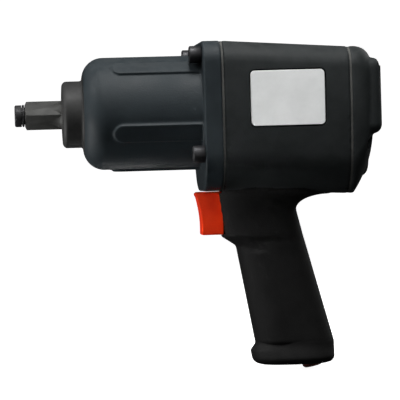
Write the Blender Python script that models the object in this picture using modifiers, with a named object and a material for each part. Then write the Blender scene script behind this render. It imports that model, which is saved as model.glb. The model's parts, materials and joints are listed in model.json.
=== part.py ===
"""Air impact wrench with a half inch square drive, modelled as the pieces it comes apart into.

The origin is the centre of the square drive's end face. X runs back along the drive axis, Z is up,
and the labelled side faces -Y. Lengths are in metres.
"""

import math

import bmesh
import bpy
from mathutils import Vector

mm = 0.001

# Clearances
TOUCH = 0.3 * mm
RUNNING = 0.4 * mm
GUIDE = 0.3 * mm
THROUGH = 2.0 * mm

# Square drive and anvil
DRIVE_FLATS = 12.7 * mm
DRIVE_EDGE = 0.5 * mm
DRIVE_LENGTH = 22.5 * mm
TIP_DIAMETER = 13.4 * mm
TIP_LENGTH = 6.2 * mm
RING_GROOVE_WIDTH = 2.0 * mm
RING_GROOVE_DIAMETER = 10.6 * mm
RING_WIRE = 1.4 * mm
FLARE_LENGTH = 6.6 * mm
SHANK_DIAMETER = 20.0 * mm
THRUST_DIAMETER = 30.0 * mm
THRUST_LENGTH = 3.6 * mm
CAM_DIAMETER = 17.2 * mm
LUG_REACH = 11.4 * mm
LUG_WIDTH = 6.4 * mm

# Hammer case
COLLAR_DIAMETER = 41.0 * mm
COLLAR_LENGTH = 12.4 * mm
COLLAR_CHAMFER = 1.8 * mm
BARREL_DIAMETER = 69.0 * mm
BARREL_LENGTH = 72.0 * mm
SHOULDER_RADIUS = 13.0 * mm
CASE_WALL = 4.9 * mm
NOSE_WALL = 10.0 * mm
RIB_COUNT = 5
RIB_WIDTH = 11.0 * mm
RIB_HEIGHT = 1.2 * mm
RIB_SETBACK = 17.5 * mm
RIB_EDGE = 1.0 * mm
RIB_FIRST_ANGLE = 50.0
FLANGE_THICKNESS = 11.0 * mm
FLANGE_EDGE = 1.2 * mm
BUSHING_WALL = 3.0 * mm
SEAL_LENGTH = 1.6 * mm

# Twin hammer mechanism
CAGE_LENGTH = 48.0 * mm
CAGE_PLATE = 4.0 * mm
CAGE_PIN_FLOOR = 1.0 * mm
CAGE_BORE = 42.4 * mm
CAGE_FRONT_HOLE = 32.0 * mm
CAGE_WINDOW = 24.0 * mm
CAGE_TO_CASE = 1.3 * mm
HAMMER_DIAMETER = 38.4 * mm
HAMMER_BORE = 27.2 * mm
JAW_REACH = 10.2 * mm
JAW_WIDTH = 5.6 * mm
JAW_LEAD = 55.0
PIN_DIAMETER = 6.0 * mm
PIN_OFFSET = 20.6 * mm
PIN_SLOT = 10.8 * mm

# Motor housing and handle
HOUSING_LENGTH = 76.7 * mm
HOUSING_HALF_WIDTH = 40.0 * mm
HOUSING_TOP = 42.2 * mm
HOUSING_FALL = 5.2 * mm
HOUSING_BOTTOM = 53.0 * mm
HOUSING_SAG = 3.6 * mm
HOUSING_TOP_CORNER = 13.0 * mm
HOUSING_BOTTOM_CORNER = 24.0 * mm
GASKET_THICKNESS = 0.6 * mm
MOTOR_BORE = 66.8 * mm
THROAT_DROP = 77.6 * mm
THROAT_REACH = 5.7 * mm
THROAT_LEDGE = 1.0 * mm
THROAT_LEAN = 3.6 * mm
THROAT_HALF_WIDTH = 18.4 * mm
GRIP_TOP_DROP = 83.6 * mm
GRIP_TOP_SETBACK = 8.4 * mm
GRIP_TOP_DEPTH = 43.2 * mm
GRIP_FRONT_LEAN = 9.8
GRIP_BACK_LEAN = 14.9
GRIP_NECK = 0.4 * mm
GRIP_HALF_WIDTH = 17.4 * mm
GRIP_HEEL_HALF_WIDTH = 18.6 * mm
GRIP_ROOT_FLARE = 9.0 * mm
GRIP_SIDE_FLARE = 3.0 * mm
GRIP_END_DROP = 143.4 * mm
GRIP_SQUARENESS = 2.5
GRIP_LEVELS = 3

# Air motor
PLATE_THICKNESS = 6.7 * mm
CYLINDER_BORE = 52.0 * mm
BORE_OFFSET = 2.4 * mm
ROTOR_DIAMETER = 46.4 * mm
ROTOR_FRONT_SHAFT = 12.0 * mm
ROTOR_REAR_SHAFT = 10.0 * mm
VANE_COUNT = 6
VANE_THICKNESS = 2.2 * mm
VANE_DEPTH = 8.6 * mm
BEARING_WALL = 5.8 * mm
BEARING_LIP = 1.0 * mm

# Rear cover and reverse knob
COVER_DEPTH = 13.8 * mm
COVER_LIP = 2.6 * mm
COVER_DOME = 9.0 * mm
COVER_UNDERCUT = 17.0 * mm
PAD_REACH = 5.2 * mm
PAD_TOP = 29.4 * mm
PAD_BOTTOM = 17.0 * mm
PAD_HALF_WIDTH = 36.4 * mm
PAD_CORNER = 6.0 * mm
PAD_EDGE = 4.0 * mm
SPIGOT_WALL = 5.0 * mm
SPIGOT_LENGTH = 14.0 * mm
KNOB_DROP = 30.6 * mm
KNOB_DIAMETER = 25.0 * mm
KNOB_LENGTH = 9.0 * mm
KNOB_DOME = 5.4 * mm
KNOB_MOAT = 1.2 * mm
KNOB_FLUTES = 12
KNOB_FLUTE_DIAMETER = 3.6 * mm
KNOB_FLUTE_OUT = 0.7 * mm
VALVE_STEM_DIAMETER = 10.0 * mm
VALVE_STEM_SETBACK = 1.6 * mm

# Trigger and throttle
TRIGGER_TRAVEL = 6.0 * mm
TRIGGER_WIDTH = 16.4 * mm
TRIGGER_TOP_DROP = 50.4 * mm
TRIGGER_HEIGHT = 26.0 * mm
TRIGGER_REACH = 11.2 * mm
TRIGGER_LEAN = 2.4 * mm
TRIGGER_HOLLOW = 0.9 * mm
TRIGGER_LIP = 1.6 * mm
TRIGGER_LIP_SETBACK = 1.0 * mm
TRIGGER_TAIL = 6.0 * mm
TRIGGER_EDGE = 1.3 * mm
ROD_DIAMETER = 4.4 * mm
ROD_LENGTH = 15.0 * mm
ROD_DROP = 62.0 * mm
CHAMBER_DIAMETER = 13.2 * mm
CHAMBER_LENGTH = 33.0 * mm
SEAT_LENGTH = 12.0 * mm
VALVE_HEAD_DIAMETER = 9.6 * mm
VALVE_HEAD_LENGTH = 3.6 * mm
VALVE_TAIL_DIAMETER = 3.2 * mm
VALVE_TAIL_LENGTH = 7.0 * mm
SPRING_WIRE = 0.9 * mm
SPRING_DIAMETER = 7.4 * mm
SPRING_TURNS = 6
SPRING_POINTS = 9

# Handle base, air inlet and exhaust
BASE_HEIGHT = 13.6 * mm
BASE_TOE = 3.2 * mm
BASE_TOE_DROP = 4.0 * mm
BASE_HEEL_TUCK = 2.0 * mm
BASE_ROUND = 4.0 * mm
INLET_LEAN = 12.4
INLET_FROM_HEEL = 17.3 * mm
INLET_BORE = 11.4 * mm
INLET_WALL = 2.4 * mm
INLET_LENGTH = 22.0 * mm
INLET_RECESS = 1.2 * mm
SCREEN_THICKNESS = 1.2 * mm
PASSAGE_DIAMETER = 11.0 * mm
EXHAUST_DIAMETER = 14.0 * mm
EXHAUST_DEPTH = 60.0 * mm
EXHAUST_SLOTS = 4
EXHAUST_SLOT_WIDTH = 2.6 * mm
EXHAUST_SLOT_LENGTH = 13.0 * mm
PLUG_HEAD_DIAMETER = 12.6 * mm
PLUG_HEAD_THICKNESS = 3.2 * mm
PLUG_STEM_LENGTH = 8.0 * mm

# Fasteners
BOLT_DIAMETER = 5.0 * mm
BOLT_HEAD_DIAMETER = 10.4 * mm
BOLT_HEAD_LENGTH = 7.2 * mm
BOLT_SOCKET = 4.0 * mm
BOLT_GRIP = 14.0 * mm
BOLT_UPPER = (26.4 * mm, 34.0 * mm)
BOLT_LOWER = (34.6 * mm, -26.6 * mm)
SCREW_DIAMETER = 4.4 * mm
SCREW_HEAD_DIAMETER = 7.6 * mm
SCREW_HEAD_LENGTH = 3.6 * mm
SCREW_SEAT = 5.0 * mm
SCREW_GRIP = 14.0 * mm
SCREW_SOCKET = 3.0 * mm
SCREW_UPPER = (31.0 * mm, 24.0 * mm)
SCREW_LOWER = (31.5 * mm, -22.5 * mm)

# Label plate
LABEL_WIDTH = 45.0 * mm
LABEL_HEIGHT = 33.4 * mm
LABEL_THICKNESS = 0.8 * mm
LABEL_CORNER = 2.6 * mm
LABEL_BACK = 38.6 * mm
LABEL_RISE = 6.1 * mm

# Roundness, in sides or points
FINE = 40
MEDIUM = 28
COARSE = 16
SMALL = 12
TINY = 8
CORNER_POINTS = 5
GRIP_POINTS = 24

# Stations along the drive axis
NOSE = DRIVE_LENGTH + FLARE_LENGTH
BARREL_FRONT = NOSE + COLLAR_LENGTH
CAVITY_FRONT = BARREL_FRONT + NOSE_WALL
FLANGE_FRONT = BARREL_FRONT + BARREL_LENGTH
FLANGE_REAR = FLANGE_FRONT + FLANGE_THICKNESS
HOUSING_FRONT = FLANGE_REAR + GASKET_THICKNESS + 2 * TOUCH
HOUSING_REAR = HOUSING_FRONT + HOUSING_LENGTH
COVER_FRONT = HOUSING_REAR + GASKET_THICKNESS + 2 * TOUCH
COVER_REAR = COVER_FRONT + COVER_DEPTH
CAGE_FRONT = CAVITY_FRONT + TOUCH + THRUST_LENGTH + RUNNING
CAGE_REAR = CAGE_FRONT + CAGE_LENGTH
HAMMER_FRONT = CAGE_FRONT + CAGE_PLATE + RUNNING
HAMMER_LENGTH = (CAGE_LENGTH - 2 * CAGE_PLATE - 3 * RUNNING) / 2
PLATE_FRONT = HOUSING_FRONT + TOUCH
CYLINDER_FRONT = PLATE_FRONT + PLATE_THICKNESS + TOUCH
REAR_PLATE_REAR = HOUSING_REAR - SPIGOT_LENGTH - TOUCH
REAR_PLATE_FRONT = REAR_PLATE_REAR - PLATE_THICKNESS
CYLINDER_REAR = REAR_PLATE_FRONT - TOUCH

# Derived radii and heights
BARREL_RADIUS = BARREL_DIAMETER / 2
CAVITY_RADIUS = BARREL_RADIUS - CASE_WALL
MOTOR_RADIUS = MOTOR_BORE / 2 - TOUCH
BUSHING_BORE_RADIUS = SHANK_DIAMETER / 2 + GUIDE
BUSHING_RADIUS = BUSHING_BORE_RADIUS + BUSHING_WALL
NOSE_BORE_RADIUS = BUSHING_RADIUS + TOUCH
BASE_TOP = -GRIP_END_DROP - TOUCH
BASE_BOTTOM = BASE_TOP - BASE_HEIGHT
THROAT_FRONT = HOUSING_FRONT - THROAT_REACH
GRIP_FRONT = HOUSING_FRONT + GRIP_TOP_SETBACK
POCKET_REAR = THROAT_FRONT + TRIGGER_TAIL + TRIGGER_TRAVEL + RUNNING
INLET_AXIS = Vector((math.sin(math.radians(INLET_LEAN)), 0, -math.cos(math.radians(INLET_LEAN))))
AXIS = Vector((1, 0, 0))
BOLT_PLACES = [(side * y, z) for y, z in (BOLT_UPPER, BOLT_LOWER) for side in (-1, 1)]
SCREW_PLACES = [(side * y, z) for y, z in (SCREW_UPPER, SCREW_LOWER) for side in (-1, 1)]


def fresh_collection(name):
    collection = bpy.data.collections.new(name)
    bpy.context.scene.collection.children.link(collection)
    return collection


for leftover in list(bpy.data.objects):
    bpy.data.objects.remove(leftover, do_unlink=True)
PARTS = fresh_collection("impact_wrench")
CUTTERS = fresh_collection("cutters")


def finish(name, colour, roughness, metallic):
    """A plain Principled material."""
    made = bpy.data.materials.new(name)
    made.use_nodes = True
    shader = made.node_tree.nodes["Principled BSDF"]
    shader.inputs["Base Color"].default_value = (*colour, 1)
    shader.inputs["Roughness"].default_value = roughness
    shader.inputs["Metallic"].default_value = metallic
    return made


CAST_ALUMINIUM = finish("cast_aluminium", (0.06, 0.075, 0.08), 0.45, 0.7)
HARD_STEEL = finish("hard_steel", (0.17, 0.17, 0.16), 0.3, 1.0)
BRIGHT_STEEL = finish("bright_steel", (0.45, 0.45, 0.45), 0.25, 1.0)
DARK_STEEL = finish("dark_steel", (0.05, 0.05, 0.055), 0.4, 1.0)
BRONZE = finish("bronze", (0.45, 0.28, 0.12), 0.4, 1.0)
BRASS = finish("brass", (0.6, 0.45, 0.18), 0.35, 1.0)
HOUSING_PLASTIC = finish("housing_plastic", (0.025, 0.028, 0.027), 0.5, 0.0)
KNOB_PLASTIC = finish("knob_plastic", (0.015, 0.015, 0.016), 0.45, 0.0)
TRIGGER_RED = finish("trigger_red", (0.45, 0.015, 0.008), 0.35, 0.0)
PLUG_RED = finish("plug_red", (0.25, 0.03, 0.02), 0.5, 0.0)
VANE_LAMINATE = finish("vane_laminate", (0.18, 0.09, 0.04), 0.6, 0.0)
GASKET_PAPER = finish("gasket_paper", (0.25, 0.25, 0.22), 0.8, 0.0)
SEAL_RUBBER = finish("seal_rubber", (0.01, 0.01, 0.01), 0.7, 0.0)
LABEL_WHITE = finish("label_white", (0.6, 0.62, 0.62), 0.4, 0.0)


def settle(obj, material):
    """Files a piece among the parts, or among the cutters if it has no material."""
    if material is None:
        CUTTERS.objects.link(obj)
        obj.hide_render = True
        obj.display_type = "WIRE"
    else:
        PARTS.objects.link(obj)
        obj.data.materials.append(material)
    return obj


def from_bmesh(name, bm, material, smooth=False):
    bmesh.ops.recalc_face_normals(bm, faces=bm.faces)
    mesh = bpy.data.meshes.new(name)
    bm.to_mesh(mesh)
    bm.free()
    if smooth:
        mesh.shade_smooth()
        mesh.set_sharp_from_angle(angle=math.radians(35))
    return settle(bpy.data.objects.new(name, mesh), material)


def turned(name, outline, material=None, at=(0, 0, 0), along=AXIS, steps=COARSE):
    """A lathe shape from (distance, radius) points, on an axis through a point. Ends at radius 0 close it."""
    ring = outline[0][1] > 0
    area = sum(a[0] * b[1] - b[0] * a[1] for a, b in zip(outline, outline[1:] + outline[:1]))
    if area < 0:
        outline = outline[::-1]
    mesh = bpy.data.meshes.new(name)
    edges = [(i, i + 1) for i in range(len(outline) - 1)]
    if ring:
        edges.append((len(outline) - 1, 0))
    mesh.from_pydata([(radius, 0, distance) for distance, radius in outline], edges, [])
    obj = settle(bpy.data.objects.new(name, mesh), material)
    obj.location = at
    obj.rotation_euler = Vector((0, 0, 1)).rotation_difference(Vector(along)).to_euler()
    screw = obj.modifiers.new("turn", "SCREW")
    screw.axis = "Z"
    screw.steps = steps
    screw.render_steps = steps
    screw.use_merge_vertices = True
    screw.merge_threshold = 0.00001
    screw.use_smooth_shade = True
    return obj


def rod(name, start, along, length, diameter, material=None, steps=COARSE):
    """A plain round bar from a point."""
    outline = [(0, 0), (0, diameter / 2), (length, diameter / 2), (length, 0)]
    return turned(name, outline, material, start, along, steps)


def loft(name, rings, material=None, smooth=False):
    """A closed skin through rings of equal point counts."""
    bm = bmesh.new()
    rows = [[bm.verts.new(point) for point in ring] for ring in rings]
    for low, high in zip(rows, rows[1:]):
        for i in range(len(low)):
            j = (i + 1) % len(low)
            bm.faces.new((low[i], low[j], high[j], high[i]))
    bm.faces.new(rows[0])
    bm.faces.new(rows[-1])
    return from_bmesh(name, bm, material, smooth)


def slab(name, outline, push, material=None):
    """A flat outline, pushed into a solid."""
    bm = bmesh.new()
    face = bm.faces.new([bm.verts.new(point) for point in outline])
    grown = bmesh.ops.extrude_face_region(bm, geom=[face])["geom"]
    bmesh.ops.translate(bm, verts=[v for v in grown if isinstance(v, bmesh.types.BMVert)], vec=push)
    return from_bmesh(name, bm, material)


def block(name, low, high, material=None, turn=None):
    """A box between two corners, turned about the drive axis by an angle if one is given."""
    bm = bmesh.new()
    bmesh.ops.create_cube(bm, size=1)
    size = Vector(high) - Vector(low)
    bmesh.ops.scale(bm, vec=size, verts=bm.verts)
    bmesh.ops.translate(bm, vec=(Vector(high) + Vector(low)) / 2, verts=bm.verts)
    obj = from_bmesh(name, bm, material)
    if turn is not None:
        obj.rotation_euler = (math.radians(turn), 0, 0)
    return obj


def combine(obj, other, operation):
    step = obj.modifiers.new(other.name, "BOOLEAN")
    step.operation = operation
    step.solver = "EXACT"
    step.object = other


def cut(obj, *others):
    for other in others:
        combine(obj, other, "DIFFERENCE")


def join(obj, *others):
    for other in others:
        combine(obj, other, "UNION")


def ease(obj, width, segments=2, angle=40):
    """Rounded edges."""
    bevel = obj.modifiers.new("edges", "BEVEL")
    bevel.width = width
    bevel.segments = segments
    bevel.limit_method = "ANGLE"
    bevel.angle_limit = math.radians(angle)
    bevel.use_clamp_overlap = True


def arc(centre, radius, start, end, count):
    """Points round part of a circle, in degrees."""
    turns = [math.radians(start + (end - start) * i / count) for i in range(count + 1)]
    return [(centre[0] + radius * math.cos(t), centre[1] + radius * math.sin(t)) for t in turns]


def frame_outline(inset=0.0, fall=0.0, lift=0.0):
    """The housing's rounded-square outline in Y and Z, with its top lowered and its bottom lifted."""
    half = HOUSING_HALF_WIDTH - inset
    top = HOUSING_TOP - fall - inset
    bottom = -HOUSING_BOTTOM + inset + lift
    upper = HOUSING_TOP_CORNER
    lower = HOUSING_BOTTOM_CORNER
    points = arc((half - upper, top - upper), upper, 0, 90, CORNER_POINTS)
    points += arc((upper - half, top - upper), upper, 90, 180, CORNER_POINTS)
    points += arc((lower - half, bottom + lower), lower, 180, 270, CORNER_POINTS)
    points += arc((half - lower, bottom + lower), lower, 270, 360, CORNER_POINTS)
    return points


def at_x(points, x):
    return [(x, y, z) for y, z in points]


def housing_outline(x, inset=0.0):
    """The outline at a station: the top falls and the bottom sags towards the rear."""
    share = min(1.0, max(0.0, (x - HOUSING_FRONT) / HOUSING_LENGTH))
    return at_x(frame_outline(inset, HOUSING_FALL * share, HOUSING_SAG * (1 - share)), x)


def on_axis(name, point):
    """An empty that marks a joint's axis."""
    empty = bpy.data.objects.new(name, None)
    empty.empty_display_size = 10 * mm
    empty.location = point
    PARTS.objects.link(empty)
    return empty


def carry(empty, *pieces):
    for piece in pieces:
        piece.parent = empty
        piece.location = piece.location - empty.location


ROTOR_AXIS = on_axis("rotor_axis", (0, 0, 0))
ANVIL_AXIS = on_axis("anvil_axis", (0, 0, 0))
UPPER_PIN_AXIS = on_axis("upper_pin_axis", (HAMMER_FRONT, 0, PIN_OFFSET))
LOWER_PIN_AXIS = on_axis("lower_pin_axis", (HAMMER_FRONT, 0, -PIN_OFFSET))
TRIGGER_AXIS = on_axis("trigger_axis", (THROAT_FRONT, 0, -ROD_DROP))
KNOB_AXIS = on_axis("knob_axis", (COVER_FRONT, 0, -KNOB_DROP))


def make_anvil():
    """Square drive with a turned tip, flared into a shank that runs back through both hammers."""
    half = DRIVE_FLATS / 2
    anvil = block("anvil", (0, -half, -half), (NOSE, half, half), HARD_STEEL, turn=45)
    ease(anvil, DRIVE_EDGE)
    corner = DRIVE_FLATS * math.sqrt(0.5) + TOUCH
    tip = TIP_DIAMETER / 2
    groove = RING_GROOVE_DIAMETER / 2
    chamfer = tip - groove
    envelope = [(0, 0), (0, tip - chamfer / 2), (chamfer / 2, tip)]
    envelope += [(TIP_LENGTH - RING_GROOVE_WIDTH, tip), (TIP_LENGTH - RING_GROOVE_WIDTH, groove)]
    envelope += [(TIP_LENGTH, groove), (TIP_LENGTH, tip), (TIP_LENGTH + corner - tip, corner)]
    envelope += [(NOSE + THROUGH, corner), (NOSE + THROUGH, 0)]
    combine(anvil, turned("anvil_envelope", envelope, steps=MEDIUM), "INTERSECT")
    shank = SHANK_DIAMETER / 2
    cam = CAM_DIAMETER / 2
    root = DRIVE_LENGTH - FLARE_LENGTH / 2
    thrust = CAVITY_FRONT + TOUCH
    rear = CAGE_REAR - CAGE_PLATE - RUNNING
    profile = [(root, 0)]
    profile += [
        (root + (NOSE - root) * math.sin(t), half + (shank - half) * (1 - math.cos(t)))
        for t in (math.pi / 2 * i / CORNER_POINTS for i in range(CORNER_POINTS + 1))
    ]
    profile += [(thrust, shank), (thrust, THRUST_DIAMETER / 2), (thrust + THRUST_LENGTH, THRUST_DIAMETER / 2)]
    profile += [(thrust + THRUST_LENGTH, cam), (rear, cam), (rear, 0)]
    join(anvil, turned("anvil_shank", profile, steps=MEDIUM))
    for number, (side, start) in enumerate(((1, HAMMER_FRONT), (-1, HAMMER_FRONT + HAMMER_LENGTH + RUNNING))):
        low = (start, min(0, side * LUG_REACH), -LUG_WIDTH / 2)
        high = (start + HAMMER_LENGTH, max(0, side * LUG_REACH), LUG_WIDTH / 2)
        join(anvil, block(f"anvil_lug_{number + 1}", low, high))
    carry(ANVIL_AXIS, anvil)


def make_socket_ring():
    """Split wire ring sprung into the groove behind the drive's tip."""
    middle = TIP_LENGTH - RING_GROOVE_WIDTH / 2
    inner = RING_GROOVE_DIAMETER / 2 + TOUCH
    half = RING_WIRE / 2
    outline = [(middle - half, inner), (middle - half, inner + half), (middle - half / 2, inner + RING_WIRE)]
    outline += [(middle + half / 2, inner + RING_WIRE), (middle + half, inner + half), (middle + half, inner)]
    ring = turned("socket_ring", outline, BRIGHT_STEEL, steps=COARSE)
    gap = block("socket_ring_gap", (0, -RING_WIRE, -DRIVE_FLATS), (TIP_LENGTH + THROUGH, RING_WIRE, 0))
    cut(ring, gap)
    carry(ANVIL_AXIS, ring)


def make_hammer_case():
    """Cast case: collar, rounded shoulder, ribbed barrel and a square flange bolted to the housing."""
    collar = COLLAR_DIAMETER / 2
    rise = BARREL_RADIUS - SHOULDER_RADIUS
    start = math.degrees(math.asin((collar - rise) / SHOULDER_RADIUS))
    centre = BARREL_FRONT + SHOULDER_RADIUS
    outline = [(NOSE, NOSE_BORE_RADIUS), (NOSE, collar - COLLAR_CHAMFER), (NOSE + COLLAR_CHAMFER, collar)]
    outline += arc((centre, rise), SHOULDER_RADIUS, 180 - start, 90, 2 * CORNER_POINTS)
    outline += [(FLANGE_REAR, BARREL_RADIUS), (FLANGE_REAR, CAVITY_RADIUS), (CAVITY_FRONT, CAVITY_RADIUS)]
    outline += [(CAVITY_FRONT, NOSE_BORE_RADIUS)]
    case = turned("hammer_case", outline, CAST_ALUMINIUM, steps=FINE)
    rib_front = BARREL_FRONT + RIB_SETBACK + RIB_WIDTH / 2
    half = RIB_WIDTH / 2
    for number in range(RIB_COUNT):
        plan = arc((rib_front, 0), half, 90, 270, CORNER_POINTS + 1)
        plan += [(FLANGE_FRONT + THROUGH, -half), (FLANGE_FRONT + THROUGH, half)]
        foot = BARREL_RADIUS - CASE_WALL / 2
        crown = BARREL_RADIUS + RIB_HEIGHT - foot
        rib = slab(f"case_rib_{number + 1}", [(x, y, foot) for x, y in plan], (0, 0, crown))
        rib.rotation_euler = (math.radians(90 - RIB_FIRST_ANGLE + number * 360 / RIB_COUNT), 0, 0)
        ease(rib, RIB_EDGE)
        join(case, rib)
    flange = slab("case_flange", housing_outline(FLANGE_FRONT), (FLANGE_THICKNESS, 0, 0))
    ease(flange, FLANGE_EDGE)
    length = FLANGE_THICKNESS + 2 * THROUGH
    bore = 2 * CAVITY_RADIUS + TOUCH
    cut(flange, rod("flange_bore", (FLANGE_FRONT - THROUGH, 0, 0), AXIS, length, bore, steps=FINE))
    join(case, flange)
    for number, (y, z) in enumerate(BOLT_PLACES):
        start = (FLANGE_FRONT - THROUGH, y, z)
        hole = BOLT_DIAMETER + 2 * TOUCH
        cut(case, rod(f"flange_hole_{number + 1}", start, AXIS, length, hole, steps=SMALL))


def make_nose_pieces():
    """Bronze bushing that carries the anvil, and the seal ring in front of it."""
    seal_front = NOSE + TOUCH
    seal_rear = seal_front + SEAL_LENGTH
    bore = BUSHING_BORE_RADIUS
    outer = BUSHING_RADIUS
    seal = [(seal_front, bore), (seal_front, outer), (seal_rear, outer), (seal_rear, bore)]
    turned("nose_seal", seal, SEAL_RUBBER, steps=COARSE)
    bush_front = seal_rear + TOUCH
    bush = [(bush_front, bore), (bush_front, outer), (CAVITY_FRONT, outer), (CAVITY_FRONT, bore)]
    turned("nose_bushing", bush, BRONZE, steps=COARSE)


def make_hammer_cage():
    """Cage that the rotor turns: two end plates, side walls with windows, and grooves for the two pins."""
    bore = CAGE_BORE / 2
    outer = CAVITY_RADIUS - CAGE_TO_CASE
    shaft = ROTOR_FRONT_SHAFT / 2 + TOUCH
    outline = [(CAGE_FRONT, CAGE_FRONT_HOLE / 2), (CAGE_FRONT, outer), (CAGE_REAR, outer), (CAGE_REAR, shaft)]
    outline += [(CAGE_REAR - CAGE_PLATE, shaft), (CAGE_REAR - CAGE_PLATE, bore)]
    outline += [(CAGE_FRONT + CAGE_PLATE, bore), (CAGE_FRONT + CAGE_PLATE, CAGE_FRONT_HOLE / 2)]
    cage = turned("hammer_cage", outline, DARK_STEEL)
    low = (CAGE_FRONT + CAGE_PLATE, -BARREL_RADIUS, -CAGE_WINDOW / 2)
    high = (CAGE_REAR - CAGE_PLATE, BARREL_RADIUS, CAGE_WINDOW / 2)
    cut(cage, block("cage_windows", low, high))
    for name, side in (("upper", 1), ("lower", -1)):
        start = Vector((CAGE_FRONT + CAGE_PIN_FLOOR, 0, side * PIN_OFFSET))
        length = CAGE_LENGTH - CAGE_PIN_FLOOR
        cut(cage, rod(f"cage_{name}_groove", start, AXIS, length + THROUGH, PIN_DIAMETER + 2 * TOUCH))
        pin_start = start + AXIS * TOUCH
        pin = rod(f"{name}_hammer_pin", pin_start, AXIS, length - 2 * TOUCH, PIN_DIAMETER, BRIGHT_STEEL)
        carry(ROTOR_AXIS, pin)
    carry(ROTOR_AXIS, cage)


def make_hammer(name, start, pivot, empty):
    """Hammer ring with one inner jaw. It rocks on one pin, and a wider notch clears the other."""
    bore = HAMMER_BORE / 2
    outer = HAMMER_DIAMETER / 2
    end = start + HAMMER_LENGTH
    hammer = turned(name, [(start, bore), (start, outer), (end, outer), (end, bore)], HARD_STEEL)
    jaw_low = (start, -JAW_WIDTH / 2, JAW_REACH)
    jaw_high = (end, JAW_WIDTH / 2, (bore + outer) / 2)
    turn = 90 - JAW_LEAD if pivot > 0 else 270 - JAW_LEAD
    join(hammer, block(f"{name}_jaw", jaw_low, jaw_high, turn=-turn))
    length = HAMMER_LENGTH + 2 * THROUGH
    own = (start - THROUGH, 0, pivot * PIN_OFFSET)
    other = (start - THROUGH, 0, -pivot * PIN_OFFSET)
    cut(hammer, rod(f"{name}_seat", own, AXIS, length, PIN_DIAMETER + 2 * TOUCH))
    cut(hammer, rod(f"{name}_notch", other, AXIS, length, PIN_SLOT))
    carry(empty, hammer)


def make_case_bolts():
    """Socket-head bolts through the case flange into the housing."""
    for number, (y, z) in enumerate(BOLT_PLACES):
        seat = FLANGE_FRONT - TOUCH
        head = seat - BOLT_HEAD_LENGTH
        radius = BOLT_HEAD_DIAMETER / 2
        socket = BOLT_SOCKET / 2
        tip = HOUSING_FRONT + BOLT_GRIP
        outline = [(head + BOLT_HEAD_LENGTH / 2, 0), (head + BOLT_HEAD_LENGTH / 2, socket), (head, socket)]
        outline += [(head, radius - FLANGE_EDGE / 2), (head + FLANGE_EDGE / 2, radius), (seat, radius)]
        outline += [(seat, BOLT_DIAMETER / 2), (tip, BOLT_DIAMETER / 2), (tip, 0)]
        turned(f"case_bolt_{number + 1}", outline, DARK_STEEL, at=(0, y, z))


def gasket(name, front, holes):
    """Thin sheet between two flanges, cut out for the motor bore and for round holes of (y, z, diameter)."""
    sheet = slab(name, housing_outline(front, TOUCH), (GASKET_THICKNESS, 0, 0), GASKET_PAPER)
    length = GASKET_THICKNESS + 2 * THROUGH
    cut(sheet, rod(f"{name}_bore", (front - THROUGH, 0, 0), AXIS, length, MOTOR_BORE + TOUCH, steps=MEDIUM))
    for number, (y, z, diameter) in enumerate(holes):
        start = (front - THROUGH, y, z)
        cut(sheet, rod(f"{name}_hole_{number + 1}", start, AXIS, length, diameter + 2 * TOUCH, steps=SMALL))


def grip_edges(drop):
    """Front and back of the handle at a depth below the drive axis."""
    below = drop - GRIP_TOP_DROP
    front = GRIP_FRONT + below * math.tan(math.radians(GRIP_FRONT_LEAN))
    back = GRIP_FRONT + GRIP_TOP_DEPTH + below * math.tan(math.radians(GRIP_BACK_LEAN))
    return front, back


def handle_ring(front, back, half_width, drop):
    """One level of the handle: a squarish oval."""
    middle = (front + back) / 2
    half = (back - front) / 2
    power = 2 / GRIP_SQUARENESS
    ring = []
    for i in range(GRIP_POINTS):
        t = 2 * math.pi * i / GRIP_POINTS
        x = math.copysign(abs(math.cos(t)) ** power, math.cos(t))
        y = math.copysign(abs(math.sin(t)) ** power, math.sin(t))
        ring.append((middle + half * x, half_width * y, -drop))
    return ring


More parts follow.
